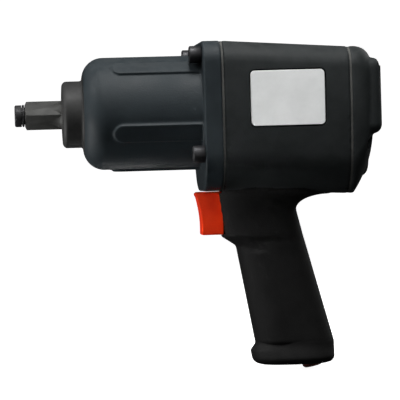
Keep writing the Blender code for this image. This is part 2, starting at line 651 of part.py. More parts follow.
def make_motor_housing():
    """One moulding: the motor barrel, the throat round the trigger, and the raked handle."""
    ends = [housing_outline(HOUSING_FRONT), housing_outline(HOUSING_REAR)]
    housing = loft("motor_housing", ends, HOUSING_PLASTIC)
    ease(housing, FLANGE_EDGE, segments=1)
    ledge_drop = HOUSING_BOTTOM - HOUSING_SAG + RUNNING
    root_drop = ledge_drop - GRIP_ROOT_FLARE / 2
    neck_drop = HOUSING_BOTTOM + GRIP_ROOT_FLARE
    neck_back = grip_edges(neck_drop)[1] + GRIP_NECK
    root_back = neck_back + GRIP_ROOT_FLARE
    root_half = THROAT_HALF_WIDTH + GRIP_SIDE_FLARE
    rings = [handle_ring(HOUSING_FRONT + TOUCH, root_back, root_half, drop) for drop in (root_drop, ledge_drop)]
    rings.append(handle_ring(THROAT_FRONT, root_back, root_half, ledge_drop + THROAT_LEDGE))
    for i in range(CORNER_POINTS):
        t = math.pi / 2 * i / (CORNER_POINTS - 1)
        spread = 1 - math.sin(t)
        drop = neck_drop - GRIP_ROOT_FLARE * math.cos(t)
        lean = THROAT_LEAN * (drop - ledge_drop) / (THROAT_DROP - ledge_drop)
        half = THROAT_HALF_WIDTH + GRIP_SIDE_FLARE * spread
        rings.append(handle_ring(THROAT_FRONT + lean, neck_back + GRIP_ROOT_FLARE * spread, half, drop))
    shelf_back = grip_edges(THROAT_DROP)[1]
    rings.append(handle_ring(THROAT_FRONT + THROAT_LEAN, shelf_back, THROAT_HALF_WIDTH, THROAT_DROP))
    knee_drop = (THROAT_DROP + GRIP_TOP_DROP) / 2
    knee_front = (THROAT_FRONT + THROAT_LEAN + GRIP_FRONT) / 2
    rings.append(handle_ring(knee_front, grip_edges(knee_drop)[1], GRIP_HALF_WIDTH, knee_drop))
    for level in range(GRIP_LEVELS + 1):
        share = level / GRIP_LEVELS
        drop = GRIP_TOP_DROP + (GRIP_END_DROP - GRIP_TOP_DROP) * share
        width = GRIP_HALF_WIDTH + (GRIP_HEEL_HALF_WIDTH - GRIP_HALF_WIDTH) * share**2
        rings.append(handle_ring(*grip_edges(drop), width, drop))
    join(housing, loft("handle", rings))
    bore_start = (HOUSING_FRONT - THROUGH, 0, 0)
    cut(housing, rod("motor_bore", bore_start, AXIS, HOUSING_LENGTH + 2 * THROUGH, MOTOR_BORE, steps=MEDIUM))
    half = TRIGGER_WIDTH / 2 + RUNNING
    low = (THROAT_FRONT - THROUGH, -half, -TRIGGER_TOP_DROP - TRIGGER_HEIGHT - RUNNING)
    high = (POCKET_REAR, half, -TRIGGER_TOP_DROP + RUNNING)
    cut(housing, block("trigger_pocket", low, high))
    chamber = (POCKET_REAR - TOUCH, 0, -ROD_DROP)
    cut(housing, rod("valve_chamber", chamber, AXIS, CHAMBER_LENGTH + TOUCH, CHAMBER_DIAMETER, steps=COARSE))
    inlet_depth = INLET_LENGTH + INLET_RECESS + 2 * THROUGH
    inlet_diameter = INLET_BORE + 2 * INLET_WALL + 2 * TOUCH
    cut(housing, rod("inlet_bore", inlet_point(THROUGH), -INLET_AXIS, inlet_depth, inlet_diameter))
    passage = (-BASE_BOTTOM - ROD_DROP) / math.cos(math.radians(INLET_LEAN))
    cut(housing, rod("air_passage", inlet_point(0), -INLET_AXIS, passage, PASSAGE_DIAMETER))
    cut(housing, rod("exhaust_passage", exhaust_point(), -INLET_AXIS, EXHAUST_DEPTH, EXHAUST_DIAMETER))
    for number, (y, z) in enumerate(BOLT_PLACES):
        start = (HOUSING_FRONT - THROUGH, y, z)
        length = BOLT_GRIP + THROUGH + RUNNING
        hole = BOLT_DIAMETER + 2 * TOUCH
        cut(housing, rod(f"bolt_hole_{number + 1}", start, AXIS, length, hole, steps=SMALL))
    for number, (y, z) in enumerate(SCREW_PLACES):
        start = (HOUSING_REAR + THROUGH, y, z)
        length = SCREW_GRIP + THROUGH + RUNNING
        hole = SCREW_DIAMETER + 2 * TOUCH
        cut(housing, rod(f"screw_hole_{number + 1}", start, -AXIS, length, hole, steps=SMALL))
    stem = (REAR_PLATE_REAR, 0, -KNOB_DROP)
    stem_depth = HOUSING_REAR - REAR_PLATE_REAR + THROUGH
    cut(housing, rod("stem_bore", stem, AXIS, stem_depth, VALVE_STEM_DIAMETER + 2 * GUIDE))
    cut(housing, label_slab("label_recess", TOUCH, LABEL_THICKNESS + TOUCH, None))


def inlet_point(past):
    """A point on the inlet's axis, measured down past the base's underside."""
    heel = grip_edges(-BASE_BOTTOM)[1]
    return Vector((heel - INLET_FROM_HEEL, 0, BASE_BOTTOM)) + INLET_AXIS * past


def exhaust_point():
    toe = grip_edges(-BASE_BOTTOM)[0]
    return Vector((toe + EXHAUST_DIAMETER / 2 + BASE_ROUND + BASE_TOE, 0, BASE_TOP - TOUCH))


def make_air_motor():
    """Cylinder with an offset bore between two end plates, and the slotted rotor with its vanes."""
    outer = MOTOR_RADIUS
    length = CYLINDER_REAR - CYLINDER_FRONT
    start = (CYLINDER_FRONT, 0, 0)
    cylinder = rod("motor_cylinder", start, AXIS, length, 2 * outer, CAST_ALUMINIUM, steps=MEDIUM)
    bore_start = (CYLINDER_FRONT - THROUGH, 0, BORE_OFFSET)
    cut(cylinder, rod("cylinder_bore", bore_start, AXIS, length + 2 * THROUGH, CYLINDER_BORE, steps=MEDIUM))
    for name, front, shaft in (
        ("front", PLATE_FRONT, ROTOR_FRONT_SHAFT),
        ("rear", REAR_PLATE_FRONT, ROTOR_REAR_SHAFT),
    ):
        rear = front + PLATE_THICKNESS
        race = shaft / 2 + GUIDE
        pocket = race + BEARING_WALL
        inner = front + BEARING_LIP
        neck = race + BEARING_WALL / 2
        plate = [(front, neck), (front, outer), (rear, outer), (rear, pocket + TOUCH)]
        plate += [(inner, pocket + TOUCH), (inner, neck)]
        turned(f"{name}_end_plate", plate, HARD_STEEL, steps=MEDIUM)
        bearing = [(inner + TOUCH, race), (inner + TOUCH, pocket), (rear, pocket), (rear, race)]
        turned(f"{name}_bearing", bearing, BRIGHT_STEEL)
    make_rotor()


def make_rotor():
    body_front = CYLINDER_FRONT + RUNNING
    body_rear = CYLINDER_REAR - RUNNING
    radius = ROTOR_DIAMETER / 2
    tail = REAR_PLATE_REAR - TOUCH
    nose = CAGE_REAR - CAGE_PLATE
    front_shaft = ROTOR_FRONT_SHAFT / 2
    rear_shaft = ROTOR_REAR_SHAFT / 2
    outline = [(nose, 0), (nose, front_shaft), (body_front, front_shaft), (body_front, radius)]
    outline += [(body_rear, radius), (body_rear, rear_shaft), (tail, rear_shaft), (tail, 0)]
    rotor = turned("rotor", outline, HARD_STEEL, steps=MEDIUM)
    half = VANE_THICKNESS / 2
    slot_floor = radius - VANE_DEPTH - TOUCH
    for number in range(VANE_COUNT):
        turn = (number + 0.5) * 360 / VANE_COUNT
        low = (body_front - THROUGH, -half - TOUCH, slot_floor)
        high = (body_rear + THROUGH, half + TOUCH, radius + THROUGH)
        cut(rotor, block(f"rotor_slot_{number + 1}", low, high, turn=turn))
        low = (body_front, -half, slot_floor + TOUCH)
        high = (body_rear, half, radius - TOUCH / 2)
        vane = block(f"rotor_vane_{number + 1}", low, high, VANE_LAMINATE, turn=turn)
        carry(ROTOR_AXIS, vane)
    carry(ROTOR_AXIS, rotor)


def make_rear_cover():
    """Domed cover with a raised pad, a spigot that holds the motor in, and a bore for the reverse valve."""
    rings = [housing_outline(COVER_FRONT)]
    for i in range(CORNER_POINTS):
        t = math.pi / 2 * i / (CORNER_POINTS - 1)
        inset = COVER_DOME * (1 - math.cos(t))
        x = COVER_FRONT + COVER_LIP + (COVER_DEPTH - COVER_LIP) * math.sin(t)
        lift = COVER_UNDERCUT * math.sin(t)
        rings.append(at_x(frame_outline(inset, HOUSING_FALL, lift), x))
    cover = loft("rear_cover", rings, HOUSING_PLASTIC)
    pad = arc((PAD_HALF_WIDTH - PAD_CORNER, PAD_TOP - PAD_CORNER), PAD_CORNER, 0, 90, CORNER_POINTS)
    pad += arc((PAD_CORNER - PAD_HALF_WIDTH, PAD_TOP - PAD_CORNER), PAD_CORNER, 90, 180, CORNER_POINTS)
    pad += arc((PAD_CORNER - PAD_HALF_WIDTH, PAD_CORNER - PAD_BOTTOM), PAD_CORNER, 180, 270, CORNER_POINTS)
    pad += arc((PAD_HALF_WIDTH - PAD_CORNER, PAD_CORNER - PAD_BOTTOM), PAD_CORNER, 270, 360, CORNER_POINTS)
    pad_push = (COVER_DEPTH - COVER_LIP + PAD_REACH, 0, 0)
    raised = slab("cover_pad", at_x(pad, COVER_FRONT + COVER_LIP), pad_push)
    ease(raised, PAD_EDGE, segments=3)
    join(cover, raised)
    seat = (COVER_REAR - KNOB_LENGTH, 0, -KNOB_DROP)
    moat = KNOB_DIAMETER + 2 * KNOB_MOAT
    cut(cover, rod("knob_recess", seat, AXIS, KNOB_LENGTH + PAD_REACH + THROUGH, moat, steps=MEDIUM))
    spigot_front = REAR_PLATE_REAR + TOUCH
    outer = MOTOR_RADIUS
    inner = outer - SPIGOT_WALL
    back = COVER_FRONT + COVER_LIP
    spigot = [(spigot_front, inner), (spigot_front, outer), (back, outer), (back, inner)]
    join(cover, turned("cover_spigot", spigot, steps=MEDIUM))
    stem = (spigot_front - THROUGH, 0, -KNOB_DROP)
    cut(cover, rod("valve_bore", stem, AXIS, COVER_REAR - spigot_front, VALVE_STEM_DIAMETER + 2 * GUIDE))
    for number, (y, z) in enumerate(SCREW_PLACES):
        start = (COVER_FRONT - THROUGH, y, z)
        length = COVER_DEPTH + PAD_REACH + THROUGH
        hole = SCREW_DIAMETER + 2 * TOUCH
        cut(cover, rod(f"cover_hole_{number + 1}", start, AXIS, length, hole, steps=SMALL))
        sunk = (COVER_FRONT + SCREW_SEAT, y, z)
        cut(cover, rod(f"cover_seat_{number + 1}", sunk, AXIS, length, SCREW_HEAD_DIAMETER + 2 * TOUCH))


def make_cover_screws():
    """Socket screws sunk into the rear cover."""
    for number, (y, z) in enumerate(SCREW_PLACES):
        seat = COVER_FRONT + SCREW_SEAT + TOUCH
        head = seat + SCREW_HEAD_LENGTH
        radius = SCREW_HEAD_DIAMETER / 2
        tip = HOUSING_REAR - SCREW_GRIP
        shank = SCREW_DIAMETER / 2
        outline = [(tip, 0), (tip, shank), (seat, shank), (seat, radius), (head, radius)]
        floor = seat + SCREW_HEAD_LENGTH / 2
        outline += [(head, SCREW_SOCKET / 2), (floor, SCREW_SOCKET / 2), (floor, 0)]
        turned(f"cover_screw_{number + 1}", outline, DARK_STEEL, at=(0, y, z))


def make_reverse_control():
    """Fluted knob low on the cover, turning a rotary valve behind it."""
    front = COVER_REAR - KNOB_LENGTH + TOUCH
    radius = KNOB_DIAMETER / 2
    socket = VALVE_STEM_DIAMETER / 2 + TOUCH
    depth = front + KNOB_LENGTH / 2
    outline = [(depth, 0), (depth, socket), (front, socket), (front, radius)]
    outline += arc((COVER_REAR - KNOB_DOME, radius - KNOB_DOME), KNOB_DOME, 90, 0, CORNER_POINTS)
    outline += [(COVER_REAR, 0)]
    knob = turned("reverse_knob", outline, KNOB_PLASTIC, at=(0, 0, -KNOB_DROP), steps=3 * KNOB_FLUTES)
    for number in range(KNOB_FLUTES):
        turn = 2 * math.pi * number / KNOB_FLUTES
        y = (radius + KNOB_FLUTE_OUT) * math.sin(turn)
        z = (radius + KNOB_FLUTE_OUT) * math.cos(turn) - KNOB_DROP
        start = (front - THROUGH, y, z)
        length = KNOB_LENGTH + 2 * THROUGH
        cut(knob, rod(f"knob_flute_{number + 1}", start, AXIS, length, KNOB_FLUTE_DIAMETER, steps=TINY))
    stem_front = REAR_PLATE_REAR + VALVE_STEM_SETBACK
    stem_length = depth - TOUCH - stem_front
    valve = rod("reverse_valve", (stem_front, 0, -KNOB_DROP), AXIS, stem_length, VALVE_STEM_DIAMETER, BRASS)
    carry(KNOB_AXIS, knob, valve)


def make_trigger():
    """Finger trigger with a hollowed front and a lip at the top, whose tail slides in the throat."""
    top = -TRIGGER_TOP_DROP
    bottom = top - TRIGGER_HEIGHT
    nose = THROAT_FRONT - TRIGGER_REACH
    tail = THROAT_FRONT + TRIGGER_TAIL
    side = [(tail, top), (nose + TRIGGER_LIP, top), (nose, top - TRIGGER_LIP)]
    steps = 2 * CORNER_POINTS
    for i in range(steps + 1):
        share = i / steps
        x = nose + TRIGGER_LIP_SETBACK + TRIGGER_LEAN * share + TRIGGER_HOLLOW * math.sin(math.pi * share)
        side.append((x, top - 2 * TRIGGER_LIP - (TRIGGER_HEIGHT - 2 * TRIGGER_LIP) * share))
    side += [(tail, bottom)]
    half = TRIGGER_WIDTH / 2
    trigger = slab("trigger", [(x, -half, z) for x, z in side], (0, TRIGGER_WIDTH, 0), TRIGGER_RED)
    ease(trigger, TRIGGER_EDGE)
    rod_start = Vector((tail + TOUCH, 0, -ROD_DROP))
    push_rod = rod("trigger_rod", rod_start, AXIS, ROD_LENGTH, ROD_DIAMETER, BRIGHT_STEEL, steps=SMALL)
    seat_front = POCKET_REAR + TOUCH
    seat_rear = seat_front + SEAT_LENGTH
    bore = ROD_DIAMETER / 2 + GUIDE
    sleeve = CHAMBER_DIAMETER / 2 - TOUCH
    seat = [(seat_front, bore), (seat_front, sleeve), (seat_rear, sleeve), (seat_rear, bore)]
    turned("valve_bushing", seat, BRASS, at=(0, 0, -ROD_DROP))
    stem = rod_start.x + ROD_LENGTH + TOUCH
    head = seat_rear + TOUCH
    radius = VALVE_HEAD_DIAMETER / 2
    guide = VALVE_TAIL_DIAMETER / 2
    head_rear = head + VALVE_HEAD_LENGTH
    end = head_rear + VALVE_TAIL_LENGTH
    neck = ROD_DIAMETER / 2
    outline = [(stem, 0), (stem, neck), (head, neck), (head, radius), (head_rear, radius)]
    outline += [(head_rear, guide), (end, guide), (end, 0)]
    valve = turned("throttle_valve", outline, BRASS, at=(0, 0, -ROD_DROP))
    carry(TRIGGER_AXIS, trigger, push_rod, valve)
    make_valve_spring(head_rear + TOUCH, POCKET_REAR + CHAMBER_LENGTH - TOUCH)


def make_valve_spring(front, rear):
    """Coil that closes the throttle valve, from its head to the end of the chamber."""
    curve = bpy.data.curves.new("valve_spring", "CURVE")
    curve.dimensions = "3D"
    curve.bevel_depth = SPRING_WIRE / 2
    curve.bevel_resolution = 0
    curve.use_fill_caps = True
    spline = curve.splines.new("POLY")
    count = SPRING_TURNS * SPRING_POINTS + 1
    spline.points.add(count - 1)
    run = rear - front - SPRING_WIRE
    radius = (SPRING_DIAMETER - SPRING_WIRE) / 2
    for i in range(count):
        t = 2 * math.pi * i / SPRING_POINTS
        x = front + SPRING_WIRE / 2 + run * i / (count - 1)
        spline.points[i].co = (x, radius * math.cos(t), -ROD_DROP + radius * math.sin(t), 1)
    settle(bpy.data.objects.new("valve_spring", curve), BRIGHT_STEEL)


def make_handle_base():
    """Cap under the handle with the exhaust slots, and the steel inlet with its screen and dust plug."""
    bottom = -BASE_BOTTOM
    top = -BASE_TOP
    toe, heel = grip_edges(top)
    rings = [handle_ring(toe, heel, GRIP_HEEL_HALF_WIDTH, top)]
    rings.append(handle_ring(toe - BASE_TOE, heel, GRIP_HEEL_HALF_WIDTH + TOUCH, top + BASE_TOE_DROP))
    for i in range(CORNER_POINTS):
        t = math.pi / 2 * i / (CORNER_POINTS - 1)
        inset = BASE_ROUND * (1 - math.cos(t))
        drop = bottom - BASE_ROUND * (1 - math.sin(t))
        tuck = inset + BASE_HEEL_TUCK
        rings.append(handle_ring(toe - BASE_TOE + inset, heel - tuck, GRIP_HEEL_HALF_WIDTH - inset, drop))
    base = loft("base_cap", rings, HOUSING_PLASTIC)
    outer = INLET_BORE / 2 + INLET_WALL
    hole_start = inlet_point(3 * THROUGH)
    hole_length = BASE_HEIGHT + 5 * THROUGH
    cut(base, rod("base_inlet_hole", hole_start, -INLET_AXIS, hole_length, 2 * outer + 2 * TOUCH))
    slots = exhaust_point()
    pitch = 2 * EXHAUST_SLOT_WIDTH
    for number in range(EXHAUST_SLOTS):
        y = (number - (EXHAUST_SLOTS - 1) / 2) * pitch
        low = (slots.x - EXHAUST_SLOT_LENGTH / 2, y - EXHAUST_SLOT_WIDTH / 2, BASE_BOTTOM - THROUGH)
        high = (slots.x + EXHAUST_SLOT_LENGTH / 2, y + EXHAUST_SLOT_WIDTH / 2, BASE_TOP + THROUGH)
        cut(base, block(f"exhaust_slot_{number + 1}", low, high))
    mouth = inlet_point(-INLET_RECESS)
    bore = INLET_BORE / 2
    sleeve = [(0, bore), (0, outer), (INLET_LENGTH, outer), (INLET_LENGTH, bore)]
    turned("inlet_bushing", sleeve, BRIGHT_STEEL, at=mouth, along=-INLET_AXIS)
    screen_at = INLET_LENGTH - SCREEN_THICKNESS - TOUCH
    screen = [(screen_at, 0), (screen_at, bore - TOUCH), (screen_at + SCREEN_THICKNESS, bore - TOUCH)]
    screen += [(screen_at + SCREEN_THICKNESS, 0)]
    turned("inlet_screen", screen, BRIGHT_STEEL, at=mouth, along=-INLET_AXIS)
    head = PLUG_HEAD_DIAMETER / 2
    stem = bore - TOUCH
    plug = [(-TOUCH - PLUG_HEAD_THICKNESS, 0), (-TOUCH - PLUG_HEAD_THICKNESS, head - FLANGE_EDGE)]
    plug += [(-TOUCH - PLUG_HEAD_THICKNESS + FLANGE_EDGE, head), (-TOUCH, head), (-TOUCH, stem)]
    plug += [(PLUG_STEM_LENGTH, stem), (PLUG_STEM_LENGTH, 0)]
    turned("dust_plug", plug, PLUG_RED, at=mouth, along=-INLET_AXIS)


def label_slab(name, grow, depth, material):
    """The label's rounded rectangle, sunk into the housing's -Y side."""
    x0 = HOUSING_FRONT + LABEL_BACK
    half_width = LABEL_WIDTH / 2 + grow
    half_height = LABEL_HEIGHT / 2 + grow
    w = half_width - LABEL_CORNER
    h = half_height - LABEL_CORNER
    points = arc((x0 + w, LABEL_RISE + h), LABEL_CORNER, 0, 90, CORNER_POINTS)
    points += arc((x0 - w, LABEL_RISE + h), LABEL_CORNER, 90, 180, CORNER_POINTS)
    points += arc((x0 - w, LABEL_RISE - h), LABEL_CORNER, 180, 270, CORNER_POINTS)
    points += arc((x0 + w, LABEL_RISE - h), LABEL_CORNER, 270, 360, CORNER_POINTS)
    face = -HOUSING_HALF_WIDTH
    if material is None:
        return slab(name, [(x, face - THROUGH, z) for x, z in points], (0, THROUGH + depth, 0))
    return slab(name, [(x, face, z) for x, z in points], (0, depth, 0), material)


make_anvil()
make_socket_ring()
make_hammer_case()
make_nose_pieces()
make_hammer_cage()
make_hammer("front_hammer", HAMMER_FRONT, 1, UPPER_PIN_AXIS)
make_hammer("rear_hammer", HAMMER_FRONT + HAMMER_LENGTH + RUNNING, -1, LOWER_PIN_AXIS)
make_case_bolts()
gasket("case_gasket", FLANGE_REAR + TOUCH, [(*place, BOLT_DIAMETER) for place in BOLT_PLACES])
make_motor_housing()
make_air_motor()
rear_holes = [(*place, SCREW_DIAMETER) for place in SCREW_PLACES] + [(0, -KNOB_DROP, VALVE_STEM_DIAMETER)]
gasket("rear_gasket", HOUSING_REAR + TOUCH, rear_holes)
make_rear_cover()
make_cover_screws()
make_reverse_control()
make_trigger()
make_handle_base()
label_slab("label_plate", 0.0, LABEL_THICKNESS, LABEL_WHITE)
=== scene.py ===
import json
import math

import bmesh
import bpy
from mathutils import Matrix, Vector


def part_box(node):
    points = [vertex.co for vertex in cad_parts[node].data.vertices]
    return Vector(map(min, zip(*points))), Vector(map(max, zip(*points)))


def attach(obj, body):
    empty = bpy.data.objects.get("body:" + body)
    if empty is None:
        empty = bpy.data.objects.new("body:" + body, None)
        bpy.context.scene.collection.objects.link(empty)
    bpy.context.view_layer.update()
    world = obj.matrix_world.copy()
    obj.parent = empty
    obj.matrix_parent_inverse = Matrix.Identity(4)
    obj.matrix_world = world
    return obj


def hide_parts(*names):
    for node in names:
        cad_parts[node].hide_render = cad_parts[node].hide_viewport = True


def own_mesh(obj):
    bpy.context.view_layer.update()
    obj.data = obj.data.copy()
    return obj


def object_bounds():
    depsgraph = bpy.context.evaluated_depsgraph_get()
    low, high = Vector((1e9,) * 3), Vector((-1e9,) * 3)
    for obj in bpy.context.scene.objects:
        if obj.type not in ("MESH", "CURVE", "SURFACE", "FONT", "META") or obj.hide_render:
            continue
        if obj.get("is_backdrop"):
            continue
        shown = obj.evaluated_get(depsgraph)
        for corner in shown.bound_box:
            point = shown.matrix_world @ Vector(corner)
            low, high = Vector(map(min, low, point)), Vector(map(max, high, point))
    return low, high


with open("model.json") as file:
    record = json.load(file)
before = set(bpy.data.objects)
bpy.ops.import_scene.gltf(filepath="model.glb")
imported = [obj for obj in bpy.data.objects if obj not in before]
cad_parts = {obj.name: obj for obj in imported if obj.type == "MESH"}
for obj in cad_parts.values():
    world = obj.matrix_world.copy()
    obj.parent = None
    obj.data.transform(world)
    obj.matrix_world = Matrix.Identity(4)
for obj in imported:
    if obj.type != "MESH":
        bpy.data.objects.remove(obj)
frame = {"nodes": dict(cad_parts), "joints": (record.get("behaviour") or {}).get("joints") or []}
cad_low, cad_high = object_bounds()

# Motor housing and handle
# One moulding in glass-filled nylon: the motor barrel, the throat round the trigger and the raked handle.
# It comes out of a split mould with a fine eroded texture. The other pieces are bolted or pressed into it.
mm = 0.001
scene = bpy.context.scene
seam_gap = 0.3 * mm
skin_margin = 0.1 * mm
running_gap = 0.4 * mm
through = 2 * mm
housing_low, housing_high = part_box("motor_housing")
label_low, label_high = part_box("label_plate")
trigger_low, trigger_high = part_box("trigger")
housing_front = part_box("case_gasket")[1].x + seam_gap
housing_rear = housing_high.x
housing_half = housing_high.y - skin_margin
housing_top = housing_high.z - skin_margin
housing_fall = 5.2 * mm
housing_bottom = 53.0 * mm
housing_sag = 3.6 * mm
top_corner = 13.0 * mm
bottom_corner = 24.0 * mm
corner_points = 16
flat_points = 8
side_radius = 230 * mm
side_crest = 12 * mm
motor_bore = 33.4 * mm


def side_bow(z):
    """How far the bowed side of the housing lies inside its widest line at a height."""
    return (z - side_crest) ** 2 / (2 * side_radius)


def housing_section(x, inset=0.0, lift=0.0, bow=1.0):
    """The rounded square of the housing at a station: its top falls and its bottom sags towards the rear.
    Its sides are bowed into a long curve, unless the bow is nothing."""
    share = min(1.0, max(0.0, (x - housing_front) / (housing_rear - housing_front)))
    half = housing_half - inset
    top = housing_top - housing_fall * share - inset
    bottom = -housing_bottom + housing_sag * (1 - share) + inset + lift
    corners = (
        (half - top_corner, top - top_corner, top_corner, 0),
        (top_corner - half, top - top_corner, top_corner, 90),
        (bottom_corner - half, bottom + bottom_corner, bottom_corner, 180),
        (half - bottom_corner, bottom + bottom_corner, bottom_corner, 270),
    )
    arcs = []
    for y, z, radius, start in corners:
        turns = [math.radians(start + 90 * i / corner_points) for i in range(corner_points + 1)]
        arcs.append([(y + radius * math.cos(t), z + radius * math.sin(t)) for t in turns])
    outline = []
    for here, after in zip(arcs, arcs[1:] + arcs[:1]):
        outline += here
        (y, z), (next_y, next_z) = here[-1], after[0]
        for i in range(1, flat_points):
            share = i / flat_points
            outline.append((y + (next_y - y) * share, z + (next_z - z) * share))
    ring = []
    for y, z in outline:
        ring.append((x, y * (1 - bow * side_bow(z) / housing_half), z))
    return ring


def skin(name, rings):
    """A closed skin through rings of equal point counts."""
    count = len(rings[0])
    last = (len(rings) - 1) * count
    faces = [tuple(range(count)), tuple(range(last, last + count))]
    for start in range(0, last, count):
        for i in range(count):
            j = (i + 1) % count
            faces.append((start + i, start + j, start + count + j, start + count + i))
    mesh = bpy.data.meshes.new(name)
    mesh.from_pydata([point for ring in rings for point in ring], [], faces)
    sides = bmesh.new()
    sides.from_mesh(mesh)
    bmesh.ops.recalc_face_normals(sides, faces=sides.faces)
    sides.to_mesh(mesh)
    sides.free()
    piece = bpy.data.objects.new(name, mesh)
    scene.collection.objects.link(piece)
    return piece


def turned(name, outline, at=(0, 0, 0), along=(1, 0, 0), steps=96):
    """A lathe shape from (distance, radius) points on an axis through a point."""
    turn = Vector((0, 0, 1)).rotation_difference(Vector(along)).to_matrix()
    rings = []
    for distance, radius in outline:
        ring = []
        for i in range(steps):
            t = 2 * math.pi * i / steps
            ring.append(Vector(at) + turn @ Vector((radius * math.cos(t), radius * math.sin(t), distance)))
        rings.append(ring)
    return skin(name, rings)


def rod(name, at, along, length, radius, steps=64):
    """A plain round bar from a point along a direction."""
    return turned(name, [(0, radius), (length, radius)], at, along, steps)


def block(name, low, high):
    """A plain block between two corners."""
    corners = [(low[0], low[1]), (high[0], low[1]), (high[0], high[1]), (low[0], high[1])]
    return skin(name, [[(x, y, z) for x, y in corners] for z in (low[2], high[2])])


def work(piece, operation, *tools):
    """Joins tools to a piece or cuts them out of it, and takes them away."""
    for tool in tools:
        step = piece.modifiers.new(tool.name, "BOOLEAN")
        step.operation = operation
        step.solver = "EXACT"
        step.object = tool
    set_shape(piece)
    for tool in tools:
        bpy.data.objects.remove(tool)


def set_shape(piece, sharp=40):
    """Makes the worked shape the piece's own mesh, smooth but for its sharp edges."""
    mesh = bpy.data.meshes.new_from_object(piece.evaluated_get(bpy.context.evaluated_depsgraph_get()))
    piece.modifiers.clear()
    piece.data = mesh
    mesh.shade_smooth()
    mesh.set_sharp_from_angle(angle=math.radians(sharp))


def soften(piece, cell, rounds, pull=0.5):
    """Rounds every edge and inner corner of a piece, as a mould or a casting does."""
    melt = piece.modifiers.new("melt", "REMESH")
    melt.mode = "VOXEL"
    melt.voxel_size = cell
    ease = piece.modifiers.new("ease", "SMOOTH")
    ease.factor = pull
    ease.iterations = rounds
    set_shape(piece)


def bevel(piece, width, segments, angle):
    """Breaks the edges of a piece that are sharper than an angle."""
    edge = piece.modifiers.new("edges", "BEVEL")
    edge.width = width
    edge.segments = segments
    edge.limit_method = "ANGLE"
    edge.angle_limit = math.radians(angle)
    set_shape(piece)


throat_front = housing_low.x
throat_lean = 3.6 * mm
throat_drop = 77.6 * mm
throat_half = 18.4 * mm
throat_ledge = 1.0 * mm
grip_top_drop = 83.6 * mm
grip_setback = 8.4 * mm
grip_front = housing_front + grip_setback
grip_depth = 43.2 * mm
grip_front_lean = math.radians(9.8)
grip_back_lean = math.radians(14.9)
grip_neck = 0.4 * mm
grip_half = 17.4 * mm
grip_heel_half = 18.6 * mm
grip_end_drop = -housing_low.z
grip_squareness = 2.5
grip_power = 2 / grip_squareness
grip_points = 80
grip_steps = 60
root_flare = 9 * mm
root_sweep = 21 * mm
root_slope = 0.85
root_steps = 12
side_flare = 3 * mm
panel_rise = 1.5 * mm
panel_top_drop = 86.4 * mm
panel_edge = 1.6 * mm
panel_middle = 0.5
panel_reach = 0.45


def grip_edges(drop):
    """Front and back of the handle at a depth below the drive axis."""
    below = drop - grip_top_drop
    front = grip_front + below * math.tan(grip_front_lean)
    return front, grip_front + grip_depth + below * math.tan(grip_back_lean)


def handle_ring(front, back, half_width, drop, panel=0.0):
    """One level of the handle, a squarish oval, with a finger panel that stands out of its sides."""
    middle = (front + back) / 2
    half = (back - front) / 2
    ring = []
    for i in range(grip_points):
        t = 2 * math.pi * i / grip_points
        lift = panel * max(0.0, 1 - ((math.cos(t) + panel_middle) / panel_reach) ** 2)
        x = math.copysign(abs(math.cos(t)) ** grip_power, math.cos(t))
        y = math.copysign(abs(math.sin(t)) ** grip_power, math.sin(t))
        ring.append((middle + half * x, (half_width + lift) * y, -drop))
    return ring


ledge_drop = housing_bottom - housing_sag + running_gap
neck_drop = housing_bottom + root_flare
neck_back = grip_edges(neck_drop)[1] + grip_neck
root_back = neck_back + root_sweep
root_half = throat_half + side_flare
levels = [handle_ring(housing_front + seam_gap, root_back, root_half, ledge_drop - root_flare / 2)]
levels.append(handle_ring(housing_front + seam_gap, root_back, root_half, ledge_drop))
levels.append(handle_ring(throat_front, root_back, root_half, ledge_drop + throat_ledge))
for i in range(root_steps + 1):
    t = math.pi / 2 * i / root_steps
    opening = 1 - math.sin(t)
    drop = neck_drop - root_flare * math.cos(t)
    lean = throat_lean * (drop - ledge_drop) / (throat_drop - ledge_drop)
    half_width = throat_half + side_flare * opening
    levels.append(handle_ring(throat_front + lean, neck_back + root_sweep * opening, half_width, drop))
levels.append(handle_ring(throat_front + throat_lean, grip_edges(throat_drop)[1], throat_half, throat_drop))
knee_drop = (throat_drop + grip_top_drop) / 2
knee_front = (throat_front + throat_lean + grip_front) / 2
levels.append(handle_ring(knee_front, grip_edges(knee_drop)[1], grip_half, knee_drop))
for i in range(grip_steps + 1):
    share = i / grip_steps
    drop = grip_top_drop + (grip_end_drop - grip_top_drop) * share
    half_width = grip_half + (grip_heel_half - grip_half) * share**2
    panel = panel_rise * min(1.0, max(0.0, (drop - panel_top_drop) / panel_edge))
    levels.append(handle_ring(*grip_edges(drop), half_width, drop, panel))
tail_drop = grip_end_drop + 2 * through
tail_front, tail_back = grip_edges(tail_drop)
levels.append(handle_ring(tail_front + through, tail_back - through, grip_heel_half - through, tail_drop))

housing_length = housing_rear - housing_front
body = skin("housing_body", [housing_section(housing_front), housing_section(housing_rear)])
work(body, "UNION", skin("handle_levels", levels))
trigger_travel = next(joint["range_m"][1] for joint in frame["joints"] if joint["name"] == "trigger_pull")
trigger_lift = 0.6 * mm
trigger_top = trigger_high.z + trigger_lift
pocket_rear = trigger_high.x + trigger_travel + running_gap
pocket_low = (throat_front - through, trigger_low.y - running_gap, trigger_low.z - running_gap)
pocket_high = (pocket_rear, trigger_high.y + running_gap, trigger_top + running_gap)
work(body, "DIFFERENCE", block("trigger_pocket", pocket_low, pocket_high))
mould_cell = 0.8 * mm
mould_rounds = 6
soften(body, mould_cell, mould_rounds)

label_corner = 2.6 * mm
label_steps = 8
label_groove = 1.0 * mm
label_sink = 0.4 * mm
label_depth = 1.8 * mm
label_back = label_high.y + label_depth


